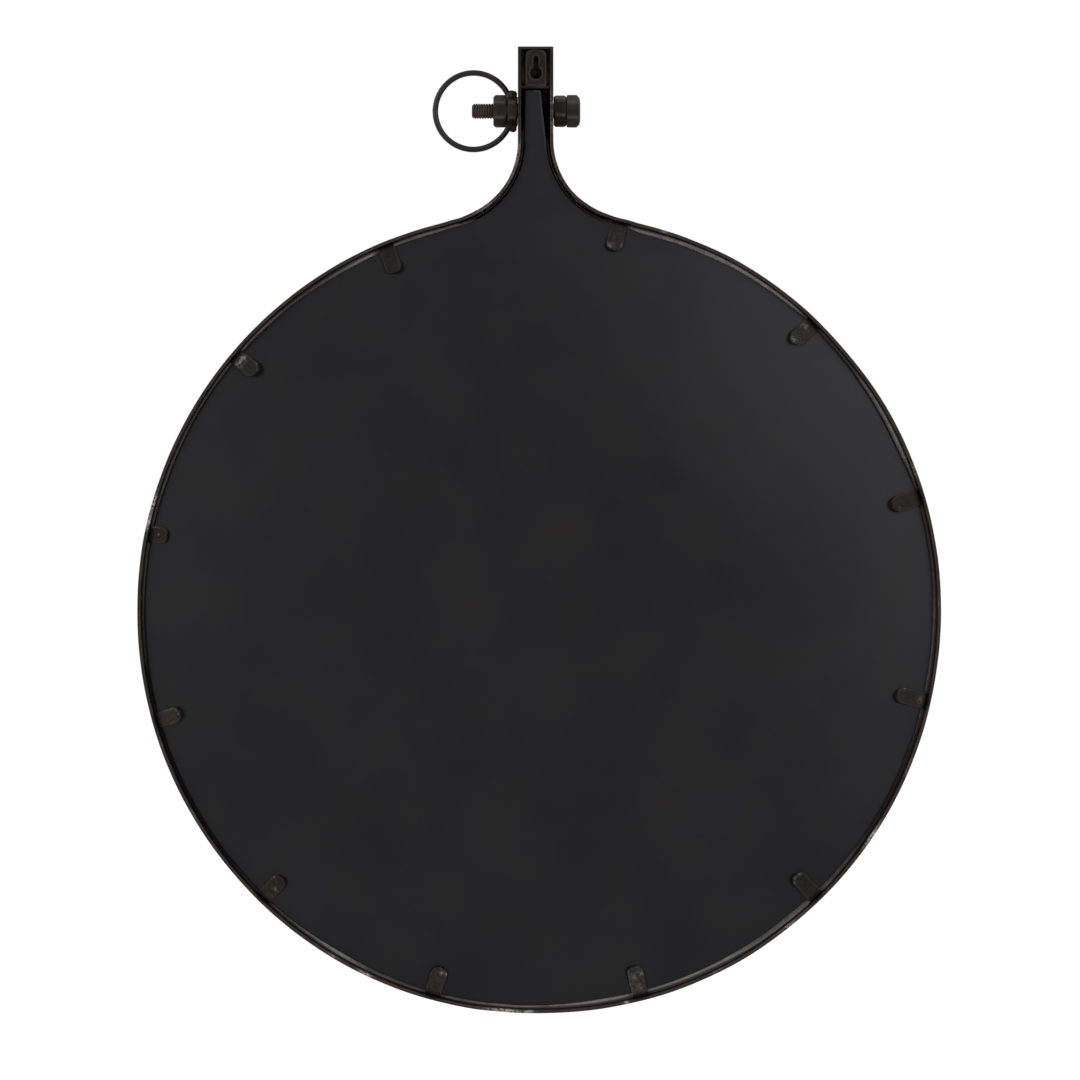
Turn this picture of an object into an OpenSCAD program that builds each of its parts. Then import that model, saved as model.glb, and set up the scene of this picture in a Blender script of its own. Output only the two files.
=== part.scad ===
// Round mirror in an iron hoop.
// One strap is bent into the hoop, flared into a neck and capped. A through bolt crosses the neck.
// X runs across, Z up, and the front of the mirror faces -Y. The wall is on the +Y side.
// The origin is the middle of the keyhole's entry hole, on the rear face of its plate.
// A depth is a distance forward from the strap's rear edge, which lies on the wall.

/* [Hoop] */
// Outer radius of the hoop
hoop_r = 327.4; // [250:0.2:420]
// Thickness of the strap
strap_t = 2.5; // [1.5:0.5:3]
// Width of the strap, from the wall to its front edge
strap_w = 38; // [37:1:60]

/* [Neck] */
// Outer width of the neck
neck_w = 29; // [27:0.2:44]
// Height of the neck above the top of the hoop's circle
neck_rise = 133.1; // [125:0.1:180]
// How far the neck stands to the side of the hoop's centre
neck_shift = 3; // [-5:0.1:5]
// Outer radius of the flares between the neck and the hoop
flare_r = 65; // [50:1:75]
// Thickness of the cap on the strap's two ends
cap_t = 2; // [1.5:0.5:4]

/* [Front plate] */
// Thickness of the plate that the glass lies against
front_t = 1.5; // [1:0.5:2]
// How far the plate's lip covers the edge of the glass
lip_w = 10; // [6:1:30]
// Gap between the plate and the strap that it is welded into
seam_gap = 0.1; // [0.05:0.05:0.3]

/* [Glass and board] */
// Thickness of the glass
glass_t = 3; // [2:0.5:4]
// Gap between the edge of the glass and the strap
glass_gap = 1; // [0.5:0.1:1.5]
// Thickness of the backing board
board_t = 3; // [2:0.5:4]
// Gap between the edge of the board and the strap
board_gap = 3; // [2.5:0.1:4]
// Depth of the board's rear face
board_depth = 6; // [5:0.5:7]

/* [Board's tongue] */
// Width of the tongue at its foot
tongue_foot_w = 18; // [14:0.5:18]
// Width of the tongue at its top
tongue_top_w = 13; // [8:0.5:16]
// Sideways place of the middle of the tongue's foot
tongue_foot_shift = 0.4; // [0:0.1:1]
// Sideways place of the middle of the tongue's top
tongue_top_shift = 2; // [0:0.1:2.8]
// Gap between the top of the tongue and the shelf
tongue_gap = 0.8; // [0.5:0.1:4]

/* [Clips] */
// Width of a clip
clip_w = 13.7; // [10:0.1:18]
// Usual length of a clip over the board, from the strap
clip_len = 24; // [22:0.5:30]
// Length of each clip, as a share of the usual one
clip_shares = [0.98, 0.98, 1.03, 1.07, 1.07, 1.07, 1, 0.98, 0.86, 0.64, 0.96, 1];
// Thickness of a clip
clip_t = 1.2; // [0.8:0.1:1.6]
// Inner radius of a clip's bend
clip_bend_r = 0.8; // [0.5:0.1:1.2]
// Places of the hand-set clips, in degrees from the top towards -X
clip_angles = [11.7, 43.5, 73.2, 103, 135.8, 165.2, 195.6, 224, 254.1, 281.3, 310.1, 337.2];

/* [Hanger] */
// How far the keyhole plate stands from the neck's middle, towards the bolt's head
hanger_shift = 0.3; // [0:0.1:1]
// Width of the keyhole plate
hanger_w = 16.8; // [14:0.2:20]
// Thickness of the keyhole plate
hanger_t = 2; // [1.5:0.5:2.5]
// Depth of the keyhole plate's rear face
hanger_depth = 2; // [1:0.5:2.5]
// Radius of the keyhole plate's top corners
hanger_corner_r = 5.5; // [2:0.5:6]
// Radius of the keyhole's entry hole
entry_r = 4.9; // [4:0.1:5.5]
// Distance of the entry hole's middle below the top of the neck
entry_drop = 21.4; // [20:0.1:24]
// Width of the keyhole's slot
slot_w = 4.2; // [3.5:0.1:5]
// Distance of the slot's upper end below the top of the neck
slot_drop = 7.3; // [6:0.1:10]
// Distance of the shelf below the top of the neck
shelf_drop = 31.8; // [30:0.1:36]
// Thickness of the shelf
shelf_t = 2; // [1.5:0.5:3]

/* [Bolt and nuts] */
// Diameter of the bolt
bolt_d = 12.7; // [10:0.1:13]
// Length of the bolt under its head
bolt_len = 77.7; // [72:0.1:90]
// Distance of the bolt below the top of the neck
bolt_drop = 50.6; // [50:0.1:60]
// Depth of the bolt's axis
bolt_depth = 22; // [21:0.5:24]
// Width across flats of the head and the nuts
hex_w = 23.4; // [20:0.1:24]
// Length of the turned chamfers on the hexagons' corners
hex_chamfer = 2; // [0.5:0.1:2.5]
// Thickness of the bolt's head
head_t = 11; // [7:0.1:12]
// Thickness of the jam nut
jam_nut_t = 10.4; // [8:0.1:11]
// Thickness of the nut that carries the ring
ring_nut_t = 8.4; // [8:0.1:11]
// Thickness of the outer lock nut
lock_nut_t = 11; // [6:0.1:12]
// Gap between a nut and the strap, and between the two nuts on one side
nut_gap = 0.3; // [0.1:0.1:0.5]
// Gap between the jam nut and the bolt's head
head_gap = 0.3; // [0.3:0.1:2]
// Radial running clearance of the nuts on the bolt
thread_gap = 0.05; // [0.02:0.01:0.1]
// Radial clearance of the bolt in the strap's holes
hole_gap = 0.4; // [0.2:0.1:1]
// Turn of the jam nut on the bolt, in degrees
jam_nut_turn = 10; // [0:1:60]

/* [Ring] */
// Mean radius of the ring
ring_r = 31.4; // [28:0.1:36]
// Diameter of the ring's wire
ring_wire_d = 4.9; // [4:0.1:6]
// Distance of the ring's centre from the middle of the neck
ring_reach = 50.8; // [50.4:0.1:54]
// Radius of the weld beads that hold the ring
bead_r = 3; // [2:0.1:3.2]

/* [Hidden] */
$fn = 144;
CLIPS = [for (i = [1:len(clip_angles)]) str("clip_", i < 10 ? "0" : "", i)];

iron = "#3d352f";
rusty_iron = "#4a3b31";
dark_wire = "#35353a";
painted_board = "#26262a";
silvered_glass = "#c9d2d4";

// Heights above the hoop's centre
neck_top = hoop_r + neck_rise;
entry_height = neck_top - entry_drop;
bolt_height = neck_top - bolt_drop;
shelf_height = neck_top - shelf_drop;

hanger_x = neck_shift - hanger_shift;
neck_half = neck_w / 2;
throat_half = neck_half - strap_t;
hoop_inner_r = hoop_r - strap_t;

// The layers lie on each other, from the board forward
board_front = board_depth + board_t;
glass_front = board_front + glass_t;
glass_r = hoop_inner_r - glass_gap;
opening_r = glass_r - lip_w;

// A flare's centre stands one flare radius off both the neck and the hoop
function flare_x(side) = neck_shift + side * (neck_half + flare_r);
function flare_z(side) = sqrt(pow(hoop_r + flare_r, 2) - pow(flare_x(side), 2));

// How far a flare's circle bites into the hoop and the neck, so that the outlines cross
flare_bite = 0.02;

bolt_r = bolt_d / 2;
hex_r = hex_w / sqrt(3);
hex_face_r = hex_r - hex_chamfer;
nut_start = neck_half + nut_gap;
lock_nut_start = nut_start + ring_nut_t + nut_gap;
head_start = nut_start + jam_nut_t + head_gap;
point_chamfer = 1.2;

// How much thinner a run of weld is than the bead and the wire that it joins, and how much its end swells
run_taper = 0.9;
run_swell = 1.1;
slot_r = slot_w / 2;

// How far a cut runs past what it cuts
past = 1;

// A sheet of the drawn outline, t thick, whose rear face lies at the given depth
module sheet(depth, t) {
    translate([0, hanger_depth - depth, 0])
        rotate([90, 0, 0])
            linear_extrude(t)
                translate([-hanger_x, -entry_height])
                    children();
}

// The area inside the strap's outer face, drawn in by a distance, with the neck up to a height
module filled_outline(inset, top) {
    circle(r = hoop_r - inset);
    translate([neck_shift - neck_half + inset, hoop_r / 2])
        square([neck_w - 2 * inset, top - hoop_r / 2]);
    for (side = [-1, 1]) {
        centre = [flare_x(side), flare_z(side)];
        throat = [neck_shift, flare_z(side)];
        difference() {
            polygon(side > 0 ? [[0, 0], centre, throat] : [[0, 0], throat, centre]);
            translate(centre)
                circle(r = flare_r + inset + flare_bite);
        }
    }
}

// Puts a shape that stands on Z onto the bolt's axis, a distance along X from the middle of the neck
module on_bolt(x) {
    translate([x + hanger_shift, hanger_depth - bolt_depth, bolt_height - entry_height])
        rotate([0, 90, 0])
            children();
}

// The round bar that a hexagon t thick is turned to, chamfered at both ends, and grown by a gap
module turned_bar(t, gap) {
    rotate_extrude()
        polygon([
            [0, -gap],
            [hex_face_r + gap, -gap],
            [hex_r + gap, hex_chamfer - gap],
            [hex_r + gap, t - hex_chamfer + gap],
            [hex_face_r + gap, t + gap],
            [0, t + gap]
        ]);
}

// A six-sided blank with its corners turned off at both ends
module hex_blank(t) {
    intersection() {
        cylinder(h = t, r = hex_r, $fn = 6);
        turned_bar(t, 0);
    }
}

module nut(t) {
    difference() {
        hex_blank(t);
        translate([0, 0, -past])
            cylinder(h = t + 2 * past, r = bolt_r + thread_gap);
    }
}

module hoop_band() {
    color(iron)
        difference() {
            sheet(0, strap_w)
                difference() {
                    filled_outline(0, neck_top - cap_t);
                    filled_outline(strap_t, neck_top);
                }
            on_bolt(-neck_half - past)
                cylinder(h = neck_w + 2 * past, r = bolt_r + hole_gap);
        }
}

module front_plate() {
    color(iron)
        sheet(glass_front, front_t)
            difference() {
                filled_outline(strap_t + seam_gap, neck_top - cap_t);
                circle(r = opening_r);
            }
}

module neck_cap() {
    color(iron)
        sheet(0, strap_w)
            translate([neck_shift - neck_half, neck_top - cap_t])
                square([neck_w, cap_t]);
}

module keyhole_plate() {
    top = neck_top - cap_t;
    foot = shelf_height;
    color(iron)
        sheet(hanger_depth, hanger_t)
            difference() {
                union() {
                    translate([hanger_x - hanger_w / 2, foot])
                        square([hanger_w, top - foot - hanger_corner_r]);
                    translate([hanger_x - hanger_w / 2 + hanger_corner_r, foot])
                        square([hanger_w - 2 * hanger_corner_r, top - foot]);
                    for (side = [-1, 1])
                        translate([
                            hanger_x + side * (hanger_w / 2 - hanger_corner_r),
                            top - hanger_corner_r
                        ])
                            circle(r = hanger_corner_r);
                }
                translate([hanger_x, entry_height])
                    circle(r = entry_r);
                translate([hanger_x - slot_r, entry_height])
                    square([slot_w, entry_drop - slot_drop - slot_r]);
                translate([hanger_x, neck_top - slot_drop - slot_r])
                    circle(r = slot_r);
            }
}

module hanger_shelf() {
    color(iron)
        sheet(hanger_depth, glass_front - hanger_depth)
            translate([neck_shift - throat_half + seam_gap, shelf_height - shelf_t])
                square([2 * (throat_half - seam_gap), shelf_t]);
}

module mirror_glass() {
    color(silvered_glass)
        sheet(board_front, glass_t)
            circle(r = glass_r);
}

module backing_board() {
    tongue_top = shelf_height - shelf_t - tongue_gap;
    foot_x = neck_shift + tongue_foot_shift;
    top_x = neck_shift + tongue_top_shift;
    foot_z = min(flare_z(1), flare_z(-1));
    color(painted_board)
        sheet(board_depth, board_t) {
            intersection() {
                filled_outline(strap_t + board_gap, neck_top);
                translate([-hoop_r, -hoop_r])
                    square([2 * hoop_r, hoop_r + foot_z]);
            }
            polygon([
                [neck_shift, hoop_r / 2],
                [foot_x + tongue_foot_w / 2, foot_z],
                [top_x + tongue_top_w / 2, tongue_top],
                [top_x - tongue_top_w / 2, tongue_top],
                [foot_x - tongue_foot_w / 2, foot_z]
            ]);
        }
}

// A clip's tab lies on the board, and its leg stands on the strap behind the edge of the glass.
// It is drawn about the middle of its bend, with the strap towards +Y and the board below it.
module clip(i) {
    bend_outer_r = clip_bend_r + clip_t;
    bend_x = sqrt(pow(hoop_inner_r, 2) - pow(clip_w / 2, 2)) - seam_gap - bend_outer_r;
    tab_len = clip_shares[i] * clip_len - bend_outer_r - clip_w / 2;
    leg_len = board_t - clip_bend_r;
    color(rusty_iron)
        translate([-hanger_x, hanger_depth - board_depth - clip_bend_r, -entry_height])
            rotate([0, -clip_angles[i], 0])
                translate([0, 0, bend_x])
                    rotate([90, 0, 0]) {
                        translate([0, 0, -bend_outer_r])
                            linear_extrude(clip_t) {
                                translate([-clip_w / 2, -tab_len])
                                    square([clip_w, tab_len]);
                                translate([0, -tab_len])
                                    circle(r = clip_w / 2);
                            }
                        rotate([0, 90, 0])
                            translate([0, 0, -clip_w / 2])
                                rotate_extrude(angle = 90)
                                    translate([clip_bend_r, 0])
                                        square([clip_t, clip_w]);
                        translate([-clip_w / 2, clip_bend_r, 0])
                            cube([clip_w, clip_t, leg_len]);
                    }
}

module bolt() {
    color(rusty_iron) {
        on_bolt(-head_start - head_t)
            hex_blank(head_t);
        on_bolt(-head_start)
            rotate_extrude()
                polygon([
                    [0, 0],
                    [bolt_r, 0],
                    [bolt_r, bolt_len - point_chamfer],
                    [bolt_r - point_chamfer, bolt_len],
                    [0, bolt_len]
                ]);
    }
}

module jam_nut() {
    color(rusty_iron)
        on_bolt(-nut_start - jam_nut_t)
            rotate([0, 0, jam_nut_turn])
                nut(jam_nut_t);
}

module ring_nut() {
    color(rusty_iron)
        on_bolt(nut_start)
            nut(ring_nut_t);
}

module lock_nut() {
    color(rusty_iron)
        on_bolt(lock_nut_start)
            nut(lock_nut_t);
}

// The ring is open where it meets its nut. At each end a bead of weld stands on the nut,
// and a run of weld goes from it to the wire where the wire has passed the lock nut.
module ring() {
    wire_r = ring_wire_d / 2;
    open_half = asin(0.87 * hex_r / ring_r);
    bead_x = nut_start + ring_nut_t - 0.8 * bead_r;
    bead_z = hex_r + 0.3 * bead_r;
    wire_z = hex_r + wire_r + nut_gap;
    wire_x = ring_reach - sqrt(pow(ring_r, 2) - pow(wire_z, 2));
    run_len = norm([wire_x - bead_x, wire_z - bead_z]);
    color(dark_wire)
        difference() {
            union() {
                on_bolt(ring_reach)
                    rotate([90, 0, 0])
                        rotate([0, 0, open_half - 90])
                            rotate_extrude(angle = 360 - 2 * open_half)
                                translate([ring_r, 0])
                                    circle(r = wire_r);
                for (side = [-1, 1])
                    on_bolt(bead_x)
                        translate([side * bead_z, 0, 0]) {
                            sphere(r = bead_r);
                            rotate([0, side * atan2(wire_z - bead_z, wire_x - bead_x), 0]) {
                                cylinder(h = run_len, r1 = run_taper * bead_r, r2 = run_taper * wire_r);
                                translate([0, 0, run_len])
                                    sphere(r = run_swell * wire_r);
                            }
                        }
            }
            on_bolt(nut_start)
                hex_blank(ring_nut_t);
            on_bolt(lock_nut_start)
                turned_bar(lock_nut_t, nut_gap / 2);
        }
}

hoop_band();
front_plate();
neck_cap();
keyhole_plate();
hanger_shelf();
mirror_glass();
backing_board();
for (i = [0:len(CLIPS) - 1])
    clip(i);
bolt();
jam_nut();
ring_nut();
lock_nut();
ring();
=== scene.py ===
import math

import bmesh
import bpy
import numpy as np
from mathutils import Matrix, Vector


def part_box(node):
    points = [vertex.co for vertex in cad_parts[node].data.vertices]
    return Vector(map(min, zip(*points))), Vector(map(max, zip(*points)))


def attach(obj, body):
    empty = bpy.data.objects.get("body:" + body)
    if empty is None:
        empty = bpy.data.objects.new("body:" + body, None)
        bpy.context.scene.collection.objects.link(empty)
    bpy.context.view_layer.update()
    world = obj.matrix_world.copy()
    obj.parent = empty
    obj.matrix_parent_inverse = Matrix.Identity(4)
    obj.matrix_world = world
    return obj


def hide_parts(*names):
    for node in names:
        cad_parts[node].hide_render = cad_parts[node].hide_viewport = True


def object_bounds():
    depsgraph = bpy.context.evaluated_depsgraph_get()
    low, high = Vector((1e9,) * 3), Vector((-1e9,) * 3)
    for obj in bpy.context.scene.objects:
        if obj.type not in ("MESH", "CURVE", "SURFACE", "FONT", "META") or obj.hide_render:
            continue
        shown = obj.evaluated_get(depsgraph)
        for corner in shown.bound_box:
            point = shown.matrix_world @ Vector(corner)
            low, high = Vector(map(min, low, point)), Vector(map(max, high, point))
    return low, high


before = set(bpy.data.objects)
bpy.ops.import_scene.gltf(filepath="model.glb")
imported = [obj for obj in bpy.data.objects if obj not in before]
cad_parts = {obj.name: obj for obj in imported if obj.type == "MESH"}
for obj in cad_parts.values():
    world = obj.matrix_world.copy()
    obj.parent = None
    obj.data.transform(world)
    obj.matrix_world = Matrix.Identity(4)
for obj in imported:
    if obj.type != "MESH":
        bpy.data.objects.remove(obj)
cad_low, cad_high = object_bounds()

# A round mirror held in a blackened iron strap, seen from behind. The strap is flared into a neck,
# a through bolt crosses the neck, and the bolt carries a wire ring. All lengths are in metres.
MM = 0.001
X, Y, Z = 0, 1, 2


def place(node, axis):
    """The lowest and the highest place of a node along one axis."""
    low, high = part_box(node)
    return low[axis], high[axis]


def middle_and_half(node, axis):
    """The middle of a node along one axis, and half of its length."""
    low, high = place(node, axis)
    return (low + high) / 2, (high - low) / 2


# Places read from the frame
FRONT, REAR = place("hoop_band", Y)
HOOP_X, HOOP_R = middle_and_half("hoop_band", X)
HOOP_Z = place("hoop_band", Z)[0] + HOOP_R
NECK_X, NECK_HALF = middle_and_half("neck_cap", X)
CAP_FOOT = place("neck_cap", Z)[0]
GLASS_FRONT, GLASS_REAR = place("mirror_glass", Y)
GLASS_R = middle_and_half("mirror_glass", X)[1]
BOARD_FRONT, BOARD_REAR = place("backing_board", Y)
TONGUE_TOP = place("backing_board", Z)[1]
PLATE_FRONT, PLATE_REAR = place("front_plate", Y)
HANGER_FRONT, HANGER_REAR = place("keyhole_plate", Y)
SHELF_TOP = place("hanger_shelf", Z)[1]
BOLT_Y = middle_and_half("bolt", Y)[0]
BOLT_Z = middle_and_half("bolt", Z)[0]
HEAD_END, THREAD_END = place("bolt", X)

# Sizes of the strap and of what it holds
STRAP_T = 2.5 * MM
FLARE_R = 65 * MM
BOLT_HOLE_R = 6.75 * MM
LIP_W = 10 * MM
SEAM_GAP, GLASS_GAP, BOARD_GAP = 0.1 * MM, 0.25 * MM, 3 * MM
TONGUE_FOOT_HALF, TONGUE_FOOT_SHIFT = 9 * MM, 0.4 * MM
TONGUE_TOP_HALF, TONGUE_TOP_SHIFT, TONGUE_CORNER_R = 6.5 * MM, 2 * MM, 2 * MM
# Where the clips stand, in degrees from the top towards -X, and each one's share of the full length
CLIP_ANGLES = (11.7, 43.5, 73.2, 103, 135.8, 165.2, 195.6, 224, 254.1, 281.3, 310.1, 337.2)
CLIP_SHARES = (0.98, 0.98, 1.03, 1.07, 1.07, 1.07, 1, 0.98, 0.86, 0.64, 0.96, 1)
CLIP_W, CLIP_LENGTH, CLIP_T, CLIP_BEND_R = 13.7 * MM, 24 * MM, 1.2 * MM, 0.8 * MM
# The share of a clip's painted-shadow skirt that is taken off its upper face
SHADOW_SKIRT_BACK = 0.3

# How round the arrises are
STRAP_ARRIS, SHEET_ARRIS, CAP_ARRIS, SHELF_ARRIS = 0.3 * MM, 0.3 * MM, 0.4 * MM, 0.3 * MM
HANGER_ARRIS, BOARD_ARRIS, GLASS_ARRIS, CLIP_ARRIS = 0.25 * MM, 0.4 * MM, 0.5 * MM, 0.35 * MM

# Sizes of the hanger plate, about the middle of its entry hole, which is the origin
HANGER_HALF, HANGER_CORNER_R = 8.4 * MM, 5.5 * MM
ENTRY_R, SLOT_HALF, SLOT_TOP = 4.9 * MM, 2.1 * MM, 14.1 * MM

# Sizes of the bolt, its nuts and the ring
BOLT_R, THREAD_PITCH, THREAD_DEPTH, THREAD_TAPER = 6.35 * MM, 2.117 * MM, 0.75 * MM, 1.8 * MM
HEX_W, HEX_CHAMFER, HEX_WORN = 23.4 * MM, 2 * MM, 0.12 * MM
HEX_R = HEX_W / math.sqrt(3)
LEAST_CHAMFER = 0.02 * MM
HEAD_T, HEAD_CHAMFER, HEAD_UNDER_CHAMFER, HEAD_CROWN = 11 * MM, 2.6 * MM, 0.9 * MM, 0.6 * MM
NUT_BORE_R, BORE_CHAMFER = 6.4 * MM, 0.7 * MM
JAM_NUT_TURN = 10
RING_R, RING_WIRE_R, RING_X = 31.4 * MM, 2.45 * MM, NECK_X + 50.8 * MM
# The ring's lumps of weld: place from the middle of its nut and radii, in millimetres, seed, degrees of lean
RING_WELDS = {
    "upper": ((0.6, 2.5, 12.4), (4.7, 4.2, 3.7), 21, 26),
    "lower": ((0.8, 1.6, -13.2), (4.9, 4.6, 4.1), 31, -20),
}

# The nuts are jammed together, so their faces stand this much closer than the solids', which turn freely
JAMMED = 0.12 * MM

# Tables round the hoop. Each row starts with an angle in degrees from the top towards -X, where the bolt's
# head is. How far the hand-bent strap lies inside the true circle, in millimetres
HAND_BENDS = (
    (0, 0), (4, 0), (6.9, -0.7), (9.5, -0.8), (12, -0.1), (14.8, 0.55), (17.5, 0.25), (21, -0.2), (30, -1.1),
    (40, -1.0), (49, -0.4), (60, -0.9), (71, -0.6), (81, -0.2), (90, 0.2), (100, 0.4), (110, 0), (121, -0.3),
    (141, -0.1), (150, -0.5), (160, -0.2), (170, 0.4), (178, 0.8), (185, 0.5), (190, -0.1), (200, -0.5),
    (210, -0.7), (220, -0.6), (231, -0.3), (250, -0.3), (260, -0.1), (270, 0), (275, -0.2), (281, -0.5),
    (290, -0.2), (310, -0.1), (330, 0), (336, 0.2), (341, 0.6), (345.5, 0.8), (348, 0.1), (350.5, -0.6),
    (353, -0.4), (356, 0),
)
# How far the board's sawn edge lies inside the strap's outer face, in millimetres
SAW_LINE = (
    (8, 7.2), (15, 6.9), (25, 6.7), (33, 6.2), (42, 5.4), (50, 5.4), (60, 6.6), (65, 6.9), (71, 5.2), (80, 5.5),
    (90, 6.1), (103, 6.2), (120, 6.0), (131, 6.3), (141, 7.4), (150, 7.5), (160, 7.2), (170, 7.4), (180, 5.8),
    (190, 5.9), (200, 6.0), (210, 6.7), (221, 5.3), (231, 5.0), (250, 5.0), (270, 5.0), (290, 5.4), (301, 4.9),
    (311, 5.4), (321, 6.0), (330, 7.2), (340, 6.1), (352, 6.0),
)
# How dark the board's painted edge shadow is along its edge
EDGE_SHADOW = (
    (10, 0.1), (30, 0.1), (42, 0.3), (52, 0.8), (61, 1), (70, 0.7), (80, 0.6), (90, 0.4), (102, 0.3),
    (120, 0.6), (130, 0.2), (140, 0), (170, 0), (182, 0.2), (200, 0.2), (212, 0.1), (222, 0.5), (228, 0.9),
    (240, 1), (262, 1), (285, 0.95), (300, 0.9), (311, 0.6), (321, 0.3), (328, 0), (338, 0.1), (350, 0.1),
)
# How pale the glass's rim and the strip of backing beside it are, from black to pale: their grey paint, with
# painted light and shade round the rim
RIM_PALE = (
    (0, 0.4), (14, 0.6), (25, 0.66), (33, 0.78), (39, 0.75), (42, 0.3), (46, 0.2), (52, 0.35), (56, 0.7),
    (63, 0.8), (69, 0.6), (74, 0.35), (85, 0.42), (94, 0.75), (103, 0.85), (109, 0.3), (115, 0.12), (123, 0.12),
    (130, 0.45), (136, 0.55), (146, 0.42), (152, 0.85), (158, 0.85), (164, 0.5), (170, 0.75), (176, 0.85),
    (183, 0.65), (190, 0.35), (197, 0.22), (205, 0.28), (211, 0.9), (218, 0.95), (224, 0.6), (229, 0.3),
    (232, 0), (260, 0), (265, 0.25), (276, 0.45), (285, 0.45), (295, 0.95), (305, 0.55), (315, 0.6), (322, 0.3),
    (328, 0.35), (334, 0.85), (340, 0.6), (350, 0.5),
)
# How far in from the rim the painted shade of the strap covers that strip, in millimetres
RIM_STRAP_SHADE = (
    (15, 1.7), (25, 0.8), (35, 0.8), (45, 1.1), (65, 1.2), (85, 1.3), (95, 2.0), (105, 2.3), (115, 2.0),
    (125, 1.6), (135, 0.8), (145, 1.0), (153, 2.6), (165, 2.6), (175, 2.2), (185, 1.4), (195, 1.4), (205, 1.1),
    (215, 1.9), (225, 1.8), (265, 1.0), (285, 1.2), (295, 1.5), (305, 1.1), (315, 1.2), (325, 2.0), (335, 2.0),
    (345, 1.1),
)
# Where rust has run onto the glass's rim: half-width in degrees, and strength
RIM_RUST = ((49, 4, 0.8), (77.5, 1.5, 0.6), (86, 3.5, 0.6), (109, 10, 0.5), (201, 4, 0.4), (226, 3, 0.4))
# Where rust has come through on the strap: half-width in degrees, and strength
RUSTY_ARCS = (
    (8.5, 1, 0.5), (16.5, 1.2, 0.8), (19, 0.8, 0.5), (29, 0.8, 0.6), (49, 3, 0.5), (83, 5, 0.25), (104, 3, 0.4),
    (118, 3, 0.4), (139, 1.5, 0.5), (151, 1.5, 0.35), (159, 1.5, 0.6), (163, 1, 0.5), (182, 3, 0.3),
    (201, 4, 0.8), (214, 2, 0.3), (226, 3, 0.6), (238, 1, 0.4), (251, 2, 0.5), (278, 1.5, 0.3), (317, 1.5, 0.4),
    (330, 1, 0.3),
)
# Where the strap is rubbed to bare metal: half-width in degrees, and strength
RUBBED_ARCS = (
    (18.2, 0.5, 0.3), (124, 1.5, 1.0), (141.5, 1, 0.5), (167.4, 0.25, 1.0), (181.5, 0.6, 0.8), (185, 2.3, 1.0),
    (205.7, 0.8, 1.0), (211, 0.6, 0.4), (283, 1.0, 1.0), (285.8, 1.2, 0.9), (352, 1.5, 0.3),
)
# Beside which clips the strap's inner face is painted black as shade, from one angle to another, and the
# half-width of each painted shade
CLIP_SHADE_FROM, CLIP_SHADE_TO, CLIP_SHADE_HALF = 60, 270, 1.3
# Where the board's paint is pale towards its rim: half-width in degrees, and strength
BOARD_PALE = ((50, 36, 0.7), (95, 30, 0.25), (285, 40, 0.2))
# The same on the neck, as spots: X, Z and radius in millimetres, and strength
NECK_RUSTY = ((-32, -104, 7, 0.7), (-56, -116, 8, 0.6), (-14.5, -62, 8, 0.4))
# Rubbed spots on the neck; the two small bright ones beside the bolt, at Z -25 and -35 millimetres, are painted
# highlights
NECK_RUBBED_AND_HIGHLIGHTS = (
    (14.5, -62, 5, 0.35), (15.5, -72, 6, 0.3), (22, -84, 7, 0.25), (-12.4, 19, 1.5, 0.8), (-11, -35, 0.9, 0.8),
    (-14.2, -25, 0.9, 0.8),
)
# How far these marks reach forward from the strap's rear edge
WORN_REACH = 3.5 * MM
# The strap is darker towards the top of the neck: how much, from which height, and over which height it sets in
NECK_DARKENING, NECK_DARKENING_FOOT, NECK_DARKENING_FADE = 0.55, -60 * MM, 30 * MM
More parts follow.
